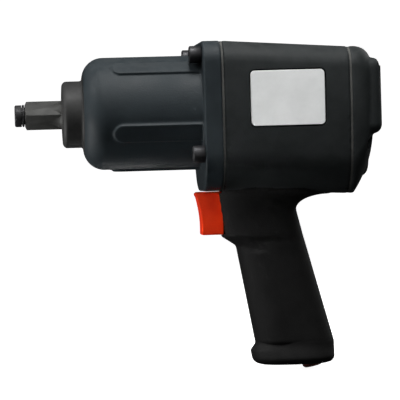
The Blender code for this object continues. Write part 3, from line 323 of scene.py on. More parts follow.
def label_outline(y, margin):
    """The rounded oblong of the label, grown by a margin and laid along the bowed side."""
    radius = label_corner + margin
    ring = []
    for x, z, start in (
        (label_high.x, label_high.z, 0),
        (label_low.x, label_high.z, 90),
        (label_low.x, label_low.z, 180),
        (label_high.x, label_low.z, 270),
    ):
        inward_x = -label_corner if x == label_high.x else label_corner
        inward_z = -label_corner if z == label_high.z else label_corner
        for i in range(label_steps + 1):
            t = math.radians(start + 90 * i / label_steps)
            point_z = z + inward_z + radius * math.sin(t)
            ring.append((x + inward_x + radius * math.cos(t), y + side_bow(point_z), point_z))
    return ring


bore_steps = 128
recess = skin("label_recess", [label_outline(label_low.y - through, label_groove),
                               label_outline(label_back, label_groove)])
bore = rod("motor_bore", (housing_front - through, 0, 0), (1, 0, 0), housing_length + 2 * through,
           motor_bore, bore_steps)
bushing_low, bushing_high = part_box("valve_bushing")
spring_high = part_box("valve_spring")[1]
rod_height = (bushing_low.z + bushing_high.z) / 2
chamber = rod("valve_chamber", (pocket_rear - seam_gap, 0, rod_height), (1, 0, 0),
              spring_high.x - pocket_rear + 2 * seam_gap, bushing_high.y + seam_gap)
inlet_low, inlet_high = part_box("inlet_bushing")
inlet_lean = math.radians(12.4)
inlet_axis = Vector((math.sin(inlet_lean), 0, -math.cos(inlet_lean)))
inlet_radius = inlet_high.y
inlet_middle = Vector(((inlet_low.x + inlet_high.x) / 2, 0, (inlet_low.z + inlet_high.z) / 2))
inlet_length = (inlet_high.z - inlet_low.z - 2 * inlet_radius * math.sin(inlet_lean)) / math.cos(inlet_lean)
passage = rod("inlet_passage", inlet_middle + inlet_axis * inlet_length, -inlet_axis, 2 * inlet_length,
              inlet_radius + seam_gap)
valve_low, valve_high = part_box("reverse_valve")
knob_height = (valve_low.z + valve_high.z) / 2
stem_bore = rod("stem_bore", (valve_low.x - through, 0, knob_height), (1, 0, 0),
                housing_rear - valve_low.x + 2 * through, valve_high.y + seam_gap)
pocket = block("crisp_pocket", pocket_low, pocket_high)
work(body, "DIFFERENCE", recess, bore, chamber, passage, stem_bore, pocket)

shared = {}


def shared_effect(name, inputs, outputs):
    """An empty shared effect with named inputs and outputs. Returns its tree, its start and its end."""
    tree = bpy.data.node_groups.new(name, "ShaderNodeTree")
    for label, value in inputs.items():
        tree.interface.new_socket(label, in_out="INPUT", socket_type="NodeSocketFloat").default_value = value
    for label in outputs:
        tree.interface.new_socket(label, in_out="OUTPUT", socket_type="NodeSocketFloat")
    shared[name] = tree
    return tree, tree.nodes.new("NodeGroupInput"), tree.nodes.new("NodeGroupOutput")


def node(tree, kind, **values):
    """A node with its inputs set by name: a socket is linked, any other value is set."""
    made = tree.nodes.new("ShaderNode" + kind)
    for label, value in values.items():
        spot = made.inputs[label.replace("_", " ")]
        if isinstance(value, bpy.types.NodeSocket):
            tree.links.new(value, spot)
        else:
            spot.default_value = value
    return made


def sums(tree, operation, first, second):
    """Two values added or multiplied, held between nothing and one."""
    made = tree.nodes.new("ShaderNodeMath")
    made.operation = operation
    made.use_clamp = True
    for spot, value in zip(made.inputs, (first, second)):
        if isinstance(value, bpy.types.NodeSocket):
            tree.links.new(value, spot)
        else:
            spot.default_value = value
    return made.outputs[0]


def spread(tree, value, low, high, start=0.0, end=1.0):
    """A value moved from one span to another."""
    moved = node(tree, "MapRange", Value=value, From_Min=start, From_Max=end, To_Min=low, To_Max=high)
    return moved.outputs[0]


def tint(tree, mask, below, above):
    """A colour that goes from one to another with a mask."""
    colours = {}
    for label, colour in (("Color1", below), ("Color2", above)):
        colours[label] = colour if isinstance(colour, bpy.types.NodeSocket) else (*colour, 1)
    return node(tree, "MixRGB", Fac=mask, **colours).outputs[0]


# Fine texture of a mould or of blasted metal: a height, and slow patches of more and less shine.
tree, start, end = shared_effect("fine_grain", {"Grains": 2500, "Patches": 60}, ("Height", "Patch"))
place = tree.nodes.new("ShaderNodeTexCoord").outputs["Object"]
fine = node(tree, "TexNoise", Vector=place, Scale=start.outputs["Grains"], Detail=3.0, Roughness=0.6)
slow = node(tree, "TexNoise", Vector=place, Scale=start.outputs["Patches"], Detail=4.0, Roughness=0.65)
tree.links.new(fine.outputs[0], end.inputs["Height"])
tree.links.new(spread(tree, slow.outputs[0], 0.0, 1.0, start=0.35, end=0.65), end.inputs["Patch"])

# Edges rubbed by hands, sockets and benches: a broken mask along every corner.
tree, start, end = shared_effect("rubbed_edges", {"Reach": 0.001, "Breakup": 300, "Amount": 1}, ("Mask",))
place = tree.nodes.new("ShaderNodeTexCoord").outputs["Object"]
facing = tree.nodes.new("ShaderNodeNewGeometry").outputs["Normal"]
rounded = node(tree, "Bevel", Radius=start.outputs["Reach"])
meet = tree.nodes.new("ShaderNodeVectorMath")
meet.operation = "DOT_PRODUCT"
tree.links.new(rounded.outputs[0], meet.inputs[0])
tree.links.new(facing, meet.inputs[1])
turned_away = spread(tree, meet.outputs["Value"], 1.0, 0.0, start=0.86, end=0.995)
broken = node(tree, "TexNoise", Vector=place, Scale=start.outputs["Breakup"], Detail=5.0, Roughness=0.7)
breaks = spread(tree, broken.outputs[0], 0.0, 1.0, start=0.42, end=0.62)
rubbed = sums(tree, "MULTIPLY", turned_away, breaks)
tree.links.new(sums(tree, "MULTIPLY", rubbed, start.outputs["Amount"]), end.inputs["Mask"])

# Workshop dust: a thin veil on what faces up, thicker in patches.
tree, start, end = shared_effect("settled_dust", {"Patches": 90, "Amount": 0.3}, ("Mask",))
place = tree.nodes.new("ShaderNodeTexCoord").outputs["Object"]
facing = node(tree, "SeparateXYZ", Vector=tree.nodes.new("ShaderNodeNewGeometry").outputs["Normal"])
upward = spread(tree, facing.outputs["Z"], 0.0, 1.0, start=0.1)
patchy = node(tree, "TexNoise", Vector=place, Scale=start.outputs["Patches"], Detail=6.0, Roughness=0.7)
drifts = spread(tree, patchy.outputs[0], 0.0, 1.0, start=0.38, end=0.7)
veil = sums(tree, "MULTIPLY", upward, drifts)
tree.links.new(sums(tree, "MULTIPLY", veil, start.outputs["Amount"]), end.inputs["Mask"])

dust_colour = (0.16, 0.16, 0.15)
dust_dulling = 0.3


def effect(tree, name, **values):
    """A shared effect placed in a finish, with its inputs set by name."""
    made = tree.nodes.new("ShaderNodeGroup")
    made.node_tree = shared[name]
    for label, value in values.items():
        made.inputs[label].default_value = value
    return made


def new_finish(name):
    """An empty finish: its material, its tree and its shader."""
    material = bpy.data.materials.new(name)
    material.use_nodes = True
    return material, material.node_tree, material.node_tree.nodes["Principled BSDF"]


def moulded(name, dark, light, worn, shine, grains, depth, dust=0.1, wear=0.5, gloss=0.2):
    """A moulded or painted finish: grain, patches of shine, rubbed edges and a veil of dust."""
    material, tree, shader = new_finish(name)
    shader.inputs["Specular IOR Level"].default_value = gloss
    grain = effect(tree, "fine_grain", Grains=grains, Patches=70)
    edges = effect(tree, "rubbed_edges", Reach=0.9 * mm, Breakup=420, Amount=wear)
    veil = effect(tree, "settled_dust", Patches=140, Amount=dust)
    base = tint(tree, grain.outputs["Patch"], dark, light)
    base = tint(tree, edges.outputs["Mask"], base, worn)
    base = tint(tree, veil.outputs["Mask"], base, dust_colour)
    tree.links.new(base, shader.inputs["Base Color"])
    dull, bright = shine
    patchy = spread(tree, grain.outputs["Patch"], bright, dull)
    rough = sums(tree, "ADD", patchy, sums(tree, "MULTIPLY", veil.outputs["Mask"], dust_dulling))
    tree.links.new(rough, shader.inputs["Roughness"])
    relief = node(tree, "Bump", Distance=depth, Height=grain.outputs["Height"])
    tree.links.new(relief.outputs[0], shader.inputs["Normal"])
    return material


housing_finish = moulded(
    "housing_nylon", dark=(0.017, 0.0195, 0.02), light=(0.023, 0.026, 0.0265), worn=(0.045, 0.048, 0.048),
    shine=(0.64, 0.52), grains=1500, depth=0.12 * mm, dust=0.06, gloss=0.13,
)


def fit(piece, finish, slot, group, *nodes):
    """Gives a piece its finish and its place in the assembly."""
    if finish.name not in piece.data.materials:
        piece.data.materials.append(finish)
    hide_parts(*nodes)
    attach(piece, group)


# The handle's finish is darker than the housing's: partly the grip's own soft-touch tone, partly painted
# shade for the shadow the housing's overhang casts on the handle.
handle_tone_and_painted_shade = moulded(
    "handle_rubber_painted_shade", dark=(0.007, 0.007, 0.007), light=(0.01, 0.01, 0.01), worn=(0.022, 0.022, 0.022),
    shine=(0.75, 0.62), grains=1300, depth=0.16 * mm, dust=0.04, gloss=0.08,
)
body.data.materials.append(housing_finish)
body.data.materials.append(handle_tone_and_painted_shade)
# Faces below the housing's underside, the throat and the handle, take the darker finish: painted shade under
# the housing's overhang, besides the grip's own tone.
for face in body.data.polygons:
    share = min(1.0, max(0.0, (face.center.x - housing_front) / housing_length))
    underside = -housing_bottom + housing_sag * (1 - share)
    on_root = abs(face.center.y) < root_half + seam_gap and abs(face.normal.z) < root_slope
    below = face.center.z < underside + (root_flare / 2 if on_root else -seam_gap)
    face.material_index = int(below)
fit(body, housing_finish, "housing_shell", "housing", "motor_housing")

# Air motor
# A ground steel cylinder with an offset bore between two end plates, and a slotted rotor on two bearings.
# The vanes are phenolic laminate. The stack slides into the housing and the rear cover clamps it.
mark_pitch = 900
mark_stretch = 30
mark_depth = 0.02 * mm
metal_gloss = 0.3
edge_shine = 1.7


def ground_steel(name, dark, light, shine, metal=1.0, wear=0.5):
    """Bare metal: fine turning marks along the piece, stains and bright rubbed edges."""
    material, tree, shader = new_finish(name)
    shader.inputs["Metallic"].default_value = metal
    shader.inputs["Specular IOR Level"].default_value = metal_gloss
    grain = effect(tree, "fine_grain", Grains=1800, Patches=90)
    edges = effect(tree, "rubbed_edges", Reach=0.6 * mm, Breakup=700, Amount=wear)
    place = tree.nodes.new("ShaderNodeTexCoord").outputs["Object"]
    across = mark_pitch / mark_stretch
    stretched = node(tree, "Mapping", Vector=place, Scale=(mark_pitch, across, across))
    marks = node(tree, "TexNoise", Vector=stretched.outputs[0], Scale=1.0, Detail=2.0)
    base = tint(tree, grain.outputs["Patch"], dark, light)
    base = tint(tree, edges.outputs["Mask"], base, [min(1.0, edge_shine * part) for part in light])
    tree.links.new(base, shader.inputs["Base Color"])
    dull, bright = shine
    stains = sums(tree, "MULTIPLY", grain.outputs["Patch"], marks.outputs[0])
    tree.links.new(spread(tree, stains, dull, bright, end=0.7), shader.inputs["Roughness"])
    relief = node(tree, "Bump", Distance=mark_depth, Height=marks.outputs[0])
    tree.links.new(relief.outputs[0], shader.inputs["Normal"])
    return material


def dress(finish, *names):
    """Puts a finish on solids that are shown as they are."""
    for name in names:
        piece = frame["nodes"][name]
        piece.data.materials.clear()
        piece.data.materials.append(finish)


hard_steel = ground_steel("ground_steel", dark=(0.2, 0.2, 0.19), light=(0.36, 0.36, 0.34), shine=(0.5, 0.28))
bright_steel = ground_steel("bright_steel", dark=(0.5, 0.5, 0.49), light=(0.66, 0.66, 0.65), shine=(0.4, 0.2))
vane_finish = moulded(
    "vane_laminate", dark=(0.16, 0.09, 0.04), light=(0.22, 0.13, 0.06), worn=(0.3, 0.2, 0.1),
    shine=(0.6, 0.4), grains=2200, depth=0.05 * mm,
)
dress(hard_steel, "front_end_plate", "motor_cylinder", "rotor", "rear_end_plate")
dress(bright_steel, "front_bearing", "rear_bearing")
dress(vane_finish, *(name for name in frame["nodes"] if name.startswith("rotor_vane")))

# Gaskets
# Two sheets of pressed fibre, cut out for the motor's bore and clamped at the ends of the housing.
# Their cut edges show as a pale line all round.
gasket_finish = moulded(
    "gasket_fibre", dark=(0.055, 0.056, 0.053), light=(0.085, 0.086, 0.082), worn=(0.14, 0.14, 0.13),
    shine=(0.9, 0.75), grains=3000, depth=0.1 * mm,
)
for name, node_name in (("front_sheet", "case_gasket"), ("rear_sheet", "rear_gasket")):
    sheet_low, sheet_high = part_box(node_name)
    ends = (sheet_low.x - seam_gap, sheet_high.x + seam_gap)
    sheet = skin(name, [housing_section(x, seam_gap) for x in ends])
    hole = rod("sheet_hole", (sheet_low.x - through, 0, 0), (1, 0, 0), 3 * through, motor_bore, bore_steps)
    work(sheet, "DIFFERENCE", hole)
    fit(sheet, gasket_finish, "gasket", "housing", node_name)

# Hammer mechanism
# A forged cage that the rotor turns, with two hammers rocking on hardened pins.
# The cage is blackened, the hammers are ground and oiled.
black_steel = ground_steel(
    "black_oxide", dark=(0.02, 0.02, 0.022), light=(0.045, 0.045, 0.047), shine=(0.55, 0.36),
    metal=0.6, wear=1.0,
)
dress(black_steel, "hammer_cage")
dress(hard_steel, "front_hammer", "rear_hammer")
dress(bright_steel, "upper_hammer_pin", "lower_hammer_pin")

# Anvil and socket ring
# The hardened square drive, ground on its flats, flared into a round shank that runs back to the hammers.
# A split wire ring sits in the groove behind the tip and holds a socket on.
drive_half = 6.35 * mm
drive_edge = 0.5 * mm
drive_edge_steps = 4
drive_break = 0.25 * mm
flare_start = 19.2 * mm
flare_steps = 16
tip_radius = 6.7 * mm
tip_length = 6.2 * mm
groove_radius = 5.3 * mm
groove_width = 2.0 * mm
lead_in = 1.2 * mm
shank_radius = 10 * mm
thrust_length = 3.6 * mm
cam_radius = 8.6 * mm
lug_reach = 11.4 * mm
lug_half = 3.2 * mm
nose_low, nose_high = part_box("hammer_case")
nose = nose_low.x
corner = drive_half * math.sqrt(2) + seam_gap
reach = (drive_half - drive_edge) * math.sqrt(2)
square = []
for side in range(4):
    centre = math.radians(90 * side + 45)
    for i in range(drive_edge_steps + 1):
        t = math.radians(90 * side + 90 * i / drive_edge_steps)
        y = reach * math.cos(centre) + drive_edge * math.cos(t)
        z = reach * math.sin(centre) + drive_edge * math.sin(t)
        square.append(((y - z) * math.sqrt(0.5), (y + z) * math.sqrt(0.5)))
drive = skin("square_drive", [[(x, y, z) for y, z in square] for x in (0, nose)])
lead = (tip_radius - groove_radius) / 2
groove_front = tip_length - groove_width
envelope = [(0, tip_radius - lead), (lead, tip_radius), (groove_front, tip_radius)]
envelope += [(groove_front, groove_radius), (tip_length, groove_radius), (tip_length, tip_radius)]
envelope += [(tip_length + lead_in, corner), (nose + through, corner)]
work(drive, "INTERSECT", turned("drive_envelope", envelope, steps=bore_steps))
flare = []
for i in range(flare_steps + 1):
    t = math.pi / 2 * i / flare_steps
    x = flare_start + (nose - flare_start) * math.sin(t)
    flare.append((x, drive_half + (shank_radius - drive_half) * (1 - math.cos(t))))
anvil_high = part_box("anvil")[1]
thrust_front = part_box("nose_bushing")[1].x + seam_gap
thrust_rear = thrust_front + thrust_length
flare += [(thrust_front, shank_radius), (thrust_front, anvil_high.y), (thrust_rear, anvil_high.y)]
flare += [(thrust_rear, cam_radius), (anvil_high.x, cam_radius)]
lugs = []
for number, name, side in ((1, "front_hammer", 1), (2, "rear_hammer", -1)):
    hammer_low, hammer_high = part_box(name)
    low = (hammer_low.x, min(0, side * lug_reach), -lug_half)
    high = (hammer_high.x, max(0, side * lug_reach), lug_half)
    lugs.append(block(f"anvil_lug_{number}", low, high))
work(drive, "UNION", turned("anvil_shank", flare, steps=bore_steps), *lugs)
bevel(drive, drive_break, segments=2, angle=25)
drive_steel = ground_steel(
    "oiled_drive_steel", dark=(0.024, 0.024, 0.023), light=(0.04, 0.04, 0.038), shine=(0.64, 0.5),
    metal=0.25, wear=1.0,
)
blued_steel = ground_steel(
    "blued_steel", dark=(0.012, 0.012, 0.013), light=(0.02, 0.02, 0.021), shine=(0.6, 0.45),
    metal=0.4, wear=0.3,
)
drive.data.materials.append(drive_steel)
drive.data.materials.append(blued_steel)
for face in drive.data.polygons:
    face.material_index = int(face.center.x < tip_length + seam_gap)
fit(drive, drive_steel, "hard_steel", "anvil_group", "anvil")
dress(blued_steel, "socket_ring")

# Hammer case
# A slate grey aluminium casting: turned nose collar, rounded shoulder, ribbed barrel and square flange.
# It is cast in one piece, painted, then bored and faced, and four bolts hold its flange to the housing.
collar_radius = 20.5 * mm
collar_chamfer = 1.8 * mm
collar_length = 12.4 * mm
barrel_front = nose + collar_length
barrel_radius = 34.5 * mm
shoulder_radius = 13.0 * mm
shoulder_steps = 24
case_wall = 4.9 * mm
case_steps = 160
core_radius = 1 * mm
flange_thickness = 11.0 * mm
flange_rear = nose_high.x
flange_front = flange_rear - flange_thickness
cast_cell = 0.7 * mm
cast_rounds = 4
rib_count = 5
rib_half = 5.5 * mm
rib_height = 1.2 * mm
rib_first_angle = 50
rib_setback = 17.5 * mm
rib_steps = 16
rib_front = barrel_front + rib_setback + rib_half
rise = barrel_radius - shoulder_radius
outline = [(nose, core_radius), (nose, collar_radius - collar_chamfer)]
outline.append((nose + collar_chamfer, collar_radius))
shoulder_start = math.pi - math.asin((collar_radius - rise) / shoulder_radius)
for i in range(shoulder_steps + 1):
    t = shoulder_start + (math.pi / 2 - shoulder_start) * i / shoulder_steps
    outline.append((barrel_front + shoulder_radius * (1 + math.cos(t)), rise + shoulder_radius * math.sin(t)))
outline += [(flange_rear - seam_gap, barrel_radius), (flange_rear - seam_gap, core_radius)]
case = turned("case_casting", outline, steps=case_steps)
ribs = []
for number in range(rib_count):
    plan = [(flange_front + through, -rib_half), (flange_front + through, rib_half)]
    for i in range(rib_steps + 1):
        t = math.radians(90 + 180 * i / rib_steps)
        plan.append((rib_front + rib_half * math.cos(t), rib_half * math.sin(t)))
    turn = Matrix.Rotation(math.radians(90 - rib_first_angle + number * 360 / rib_count), 3, "X")
    foot = barrel_radius - case_wall / 2
    levels = [[turn @ Vector((x, y, z)) for x, y in plan] for z in (foot, barrel_radius + rib_height)]
    ribs.append(skin(f"rib_{number}", levels))
flange = skin("flange", [housing_section(x, bow=0.0) for x in (flange_front, flange_rear)])
work(case, "UNION", *ribs, flange)
soften(case, cast_cell, cast_rounds)
cavity_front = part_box("nose_bushing")[1].x
nose_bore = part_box("nose_bushing")[1].y + seam_gap
cavity_radius = barrel_radius - case_wall
hollow = [(nose - through, nose_bore), (cavity_front, nose_bore), (cavity_front, cavity_radius)]
hollow += [(flange_rear + through, cavity_radius)]
work(case, "DIFFERENCE", turned("case_hollow", hollow, steps=bore_steps))
case_finish = moulded(
    "slate_paint", dark=(0.0128, 0.018, 0.0212), light=(0.0166, 0.023, 0.0268), worn=(0.06, 0.067, 0.067),
    shine=(0.66, 0.54), grains=1100, depth=0.1 * mm, wear=0.6,
)
collar_finish = ground_steel(
    "turned_collar", dark=(0.017, 0.017, 0.017), light=(0.026, 0.026, 0.0255), shine=(0.66, 0.54), metal=0.2,
)
case.data.materials.append(case_finish)
case.data.materials.append(collar_finish)
for face in case.data.polygons:
    face.material_index = int(face.center.x < barrel_front + seam_gap)
fit(case, case_finish, "cast_case", "housing", "hammer_case")
bronze = ground_steel("sintered_bronze", dark=(0.3, 0.19, 0.09), light=(0.42, 0.28, 0.14), shine=(0.6, 0.4))
dress(bronze, "nose_bushing")
seal_rubber = moulded(
    "nitrile_rubber", dark=(0.012, 0.012, 0.012), light=(0.018, 0.018, 0.018), worn=(0.03, 0.03, 0.03),
    shine=(0.7, 0.5), grains=2600, depth=0.06 * mm,
)
dress(seal_rubber, "nose_seal")

# Case bolts
# Socket-head bolts in black oxide steel with knurled heads, whose rims are worn bright by the key.
# They stand in front of the flange and screw into the housing.
head_radius = 5.2 * mm
head_length = 7.2 * mm
head_edge = 0.7 * mm
shank = 2.5 * mm
knurls = 40
knurl_depth = 0.12 * mm
key_half = 2.3 * mm
key_sides = 6
bolt_count = 4
for number in range(1, bolt_count + 1):
    bolt_low, bolt_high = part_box(f"case_bolt_{number}")
    middle = Vector((bolt_low.x, (bolt_low.y + bolt_high.y) / 2, (bolt_low.z + bolt_high.z) / 2))
    rings = []
    bolt_length = flange_rear - seam_gap - bolt_low.x
    for distance, radius, cut in (
        (0, key_half, 0),
        (0, head_radius - head_edge, 0),
        (head_edge / 2, head_radius - head_edge / 4, 0),
        (head_edge, head_radius, 1),
        (head_length - head_edge / 2, head_radius, 1),
        (head_length, head_radius - head_edge / 2, 0),
        (head_length, shank, 0),
        (bolt_length, shank, 0),
    ):
        ring = []
        for i in range(2 * knurls):
            t = math.pi * i / knurls
            r = radius - cut * knurl_depth * (i % 2)
            ring.append(middle + Vector((distance, r * math.cos(t), r * math.sin(t))))
        rings.append(ring)
    bolt = skin(f"flange_bolt_{number}", rings)
    key_start = middle - Vector((through, 0, 0))
    key = rod("key_hole", key_start, (1, 0, 0), through + head_length / 2, key_half, key_sides)
    work(bolt, "DIFFERENCE", key)
    fit(bolt, black_steel, "dark_steel", "housing", f"case_bolt_{number}")

# Rear cover
# The housing's second moulding: a domed cover with a raised pad, over the rear bearing and the reverse valve.
# Four sunk socket screws hold it, and a moat in its lower half leaves room for the reverse knob.
cover_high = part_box("rear_cover")[1]
cover_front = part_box("rear_gasket")[1].x + seam_gap
cover_lip = 2.6 * mm
cover_depth = 13.8 * mm
cover_dome = 9.0 * mm
cover_steps = 12
cover_undercut = 17.0 * mm
pad_low = (-36.4 * mm, -17 * mm)
pad_high = (36.4 * mm, 29.4 * mm)
pad_corner = 6 * mm
pad_edge = 5.6 * mm
pad_steps = 8
screw_count = 4
screw_seat = 3.6 * mm
knob_radius = 12.5 * mm
knob_moat = 1.2 * mm
knob_length = 9 * mm
rings = [housing_section(cover_front)]
for i in range(cover_steps + 1):
    t = math.pi / 2 * i / cover_steps
    x = cover_front + cover_lip + (cover_depth - cover_lip) * math.sin(t)
    section = housing_section(housing_rear, cover_dome * (1 - math.cos(t)), cover_undercut * math.sin(t))
    rings.append([(x, y, z) for _, y, z in section])
cover = skin("cover_moulding", rings)
pad_rear = cover_high.x - skin_margin


def pad_ring(x, inset):
    """The rounded oblong of the cover's pad at a station, drawn in at its corners."""
    radius = pad_corner - inset
    ring = []
    for y, z, start in (
        (pad_high[0], pad_high[1], 0), (pad_low[0], pad_high[1], 90),
        (pad_low[0], pad_low[1], 180), (pad_high[0], pad_low[1], 270),
    ):
        inward_y = -pad_corner if y > 0 else pad_corner
        inward_z = -pad_corner if z > 0 else pad_corner
        for i in range(pad_steps + 1):
            t = math.radians(start + 90 * i / pad_steps)
            ring.append((x, y + inward_y + radius * math.cos(t), z + inward_z + radius * math.sin(t)))
    return ring


pad = [pad_ring(cover_front + cover_lip, 0)]
for i in range(pad_steps + 1):
    t = math.pi / 2 * i / pad_steps
    pad.append(pad_ring(pad_rear - pad_edge * (1 - math.sin(t)), pad_edge * (1 - math.cos(t))))
work(cover, "UNION", skin("cover_pad", pad))
moat_front = cover_front + cover_depth - knob_length
moat = rod("knob_moat", (moat_front, 0, knob_height), (1, 0, 0), 2 * knob_length, knob_radius + knob_moat)
work(cover, "DIFFERENCE", moat)
soften(cover, cast_cell, cast_rounds)
stem_start = (cover_front - through, 0, knob_height)
holes = [rod("stem_hole", stem_start, (1, 0, 0), cover_depth, valve_high.y + seam_gap)]
for number in range(1, screw_count + 1):
    name = f"cover_screw_{number}"
    screw_low, screw_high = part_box(name)
    middle = (screw_low + screw_high) / 2
    middle.x = screw_high.x - screw_seat - seam_gap
    hole_radius = (screw_high.y - screw_low.y) / 2 + seam_gap
    holes.append(rod(f"screw_hole_{number}", middle, (1, 0, 0), cover_depth, hole_radius))
    dress(black_steel, name)
work(cover, "DIFFERENCE", *holes)
fit(cover, housing_finish, "housing_shell", "housing", "rear_cover")

# Reverse knob and valve
# A fluted knob moulded in black nylon, pressed on a turned brass valve that swaps the air ports.
# It turns an eighth either way in the moat of the rear cover.
knob_low, knob_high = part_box("reverse_knob")
knob_dome = 5.4 * mm
knob_steps = 12
knob_centre = 0.2 * mm
flutes = 12
flute_steps = 12
flute_fade = 4
flute_depth = 1.1 * mm
pointer_depth = 2.4 * mm
pointer_half = 0.9 * mm
pointer_start = 3 * mm
profile = [(knob_low.x, knob_radius)]
for i in range(knob_steps + 1):
    t = math.pi / 2 * i / knob_steps
    profile.append((knob_high.x - knob_dome * (1 - math.sin(t)), knob_radius - knob_dome * (1 - math.cos(t))))
profile.append((knob_high.x, knob_centre))
rings = []
for x, radius in profile:
    fade = min(1.0, radius / knob_radius) ** flute_fade
    ring = []
    for i in range(flutes * flute_steps):
        t = 2 * math.pi * i / (flutes * flute_steps)
        r = radius - flute_depth * max(0.0, math.cos(flutes * t)) ** 2 * fade
        ring.append((x, r * math.sin(t), knob_height + r * math.cos(t)))
    rings.append(ring)
knob = skin("fluted_knob", rings)
socket = rod("knob_socket", (knob_low.x - through, 0, knob_height), (1, 0, 0), through + knob_length / 2,
             valve_high.y + seam_gap)
pointer_low = (knob_high.x - pointer_depth, -pointer_half, knob_height + pointer_start)
pointer_high = (knob_high.x + through, pointer_half, knob_height + knob_radius + through)
work(knob, "DIFFERENCE", socket, block("pointer_groove", pointer_low, pointer_high))
knob_finish = moulded(
    "black_nylon", dark=(0.012, 0.012, 0.013), light=(0.018, 0.018, 0.019), worn=(0.05, 0.05, 0.05),
    shine=(0.6, 0.42), grains=1800, depth=0.1 * mm,
)
fit(knob, knob_finish, "black_plastic", "reverse_group", "reverse_knob")
brass = ground_steel("turned_brass", dark=(0.42, 0.29, 0.11), light=(0.55, 0.4, 0.17), shine=(0.45, 0.25))
dress(brass, "reverse_valve")

# Trigger and throttle
# A red moulded finger piece with a hollowed front and a lip, sliding in the throat of the handle.
# It pushes a steel rod, which lifts the brass throttle valve off its seat against a coil spring.
trigger_height = trigger_top - trigger_low.z
lip = 1.6 * mm
lip_setback = 1.0 * mm
trigger_lean = 2.4 * mm
trigger_hollow = 0.9 * mm
finger_steps = 24
finger_edge = 1.8 * mm
front_edge = [(trigger_low.x + lip, trigger_top), (trigger_low.x + lip / 3, trigger_top - lip / 3)]
front_edge += [(trigger_low.x, trigger_top - lip)]
for i in range(finger_steps + 1):
    share = i / finger_steps
    x = trigger_low.x + lip_setback + trigger_lean * share + trigger_hollow * math.sin(math.pi * share)
    front_edge.append((x, trigger_top - 2 * lip - (trigger_height - 2 * lip) * share))
side = [(trigger_high.x, trigger_top)] + front_edge + [(trigger_high.x, trigger_low.z)]
finger = skin("finger_piece", [[(x, y, z) for x, z in side] for y in (trigger_low.y, trigger_high.y)])
bevel(finger, finger_edge, segments=5, angle=50)
trigger_finish = moulded(
    "red_nylon", dark=(0.86, 0.03, 0.003), light=(0.93, 0.043, 0.005), worn=(0.87, 0.1, 0.03),
    shine=(0.46, 0.34), grains=1700, depth=0.08 * mm, dust=0.005, gloss=0.06,
)
fit(finger, trigger_finish, "red_plastic", "trigger_group", "trigger")
dress(bright_steel, "trigger_rod")
dress(brass, "throttle_valve", "valve_bushing")
wire_radius = 0.45 * mm
coil_turns = 6
coil_steps = 24
wire_points = 10
spring_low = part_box("valve_spring")[0]
coil_radius = spring_high.y - wire_radius
coil_run = spring_high.x - spring_low.x - 2 * wire_radius
coil_pitch = coil_run / coil_turns
rings = []
for i in range(coil_turns * coil_steps + 1):
    t = 2 * math.pi * i / coil_steps
    out = Vector((0, math.cos(t), math.sin(t)))
    along = Vector((coil_pitch / (2 * math.pi), -coil_radius * math.sin(t), coil_radius * math.cos(t)))
    across = along.normalized().cross(out)
    x = spring_low.x + wire_radius + coil_pitch * i / coil_steps
    middle = Vector((x, 0, rod_height)) + out * coil_radius
    ring = []
    for j in range(wire_points):
        u = 2 * math.pi * j / wire_points
        ring.append(middle + (out * math.cos(u) + across * math.sin(u)) * wire_radius)
    rings.append(ring)
coil = skin("coil_spring", rings)
set_shape(coil)
fit(coil, bright_steel, "bright_steel", "housing", "valve_spring")
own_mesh(coil)

# Base cap, air inlet and plug
# A moulded foot closes the handle, with exhaust slots at its toe and the steel air inlet at its heel.
# A soft red plug with a round head keeps dirt out of the inlet.
base_low, base_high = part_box("base_cap")
base_top = base_high.z
base_bottom = base_low.z
toe = 3.8 * mm
toe_drop = 5.6 * mm
base_round = 4.6 * mm
side_swell = 2.8 * mm
heel_tuck = 3.6 * mm
collar_tuck = 3.0 * mm
foot_tuck = 0.4 * mm
foot_steps = 18
slot_count = 4
slot_start = 9 * mm
slot_pitch = 4.6 * mm
slot_width = 2.4 * mm
slot_half = 6.5 * mm
slot_depth = 6 * mm
tuck_drop = -base_top - collar_tuck
front, back = grip_edges(tuck_drop)
rings = [handle_ring(front + foot_tuck, back - foot_tuck, grip_heel_half - foot_tuck, tuck_drop)]
for i in range(foot_steps + 1):
    share = i / foot_steps
    drop = -base_top + (base_top - base_bottom) * share
    front, back = grip_edges(drop)
    swell = min(1.0, (drop + base_top) / toe_drop)
    lead = toe * swell**2 * (3 - 2 * swell)
    under = max(0.0, drop + base_bottom + base_round) / base_round
    inset = base_round * (1 - math.sqrt(max(0.0, 1 - under**2)))
    spread_out = min(1.0, (drop + base_top) / (base_top - base_bottom - base_round / 2))
    half_width = grip_heel_half + side_swell * spread_out**2 * (3 - 2 * spread_out) - inset
    rings.append(handle_ring(front - lead + inset, back - heel_tuck * share - inset, half_width, drop))
foot = skin("handle_foot", rings)
slots = []
for number in range(slot_count):
    x = base_low.x + slot_start + number * slot_pitch
    slot_low = (x, -slot_half, base_bottom - through)
    slot_high = (x + slot_width, slot_half, base_bottom + slot_depth)
    slots.append(block(f"slot_{number}", slot_low, slot_high))
passage = rod("foot_passage", inlet_middle - inlet_axis * inlet_length, inlet_axis, 3 * inlet_length,
              inlet_radius + seam_gap)
work(foot, "DIFFERENCE", passage, *slots)
# The foot shares the handle's darker finish, painted shade included.
fit(foot, handle_tone_and_painted_shade, "housing_shell", "housing", "base_cap")
dress(bright_steel, "inlet_bushing", "inlet_screen")
plug_finish = moulded(
    "soft_red_plastic", dark=(0.16, 0.035, 0.025), light=(0.22, 0.05, 0.035), worn=(0.3, 0.1, 0.08),
    shine=(0.6, 0.45), grains=1600, depth=0.1 * mm,
)
dress(plug_finish, "dust_plug")

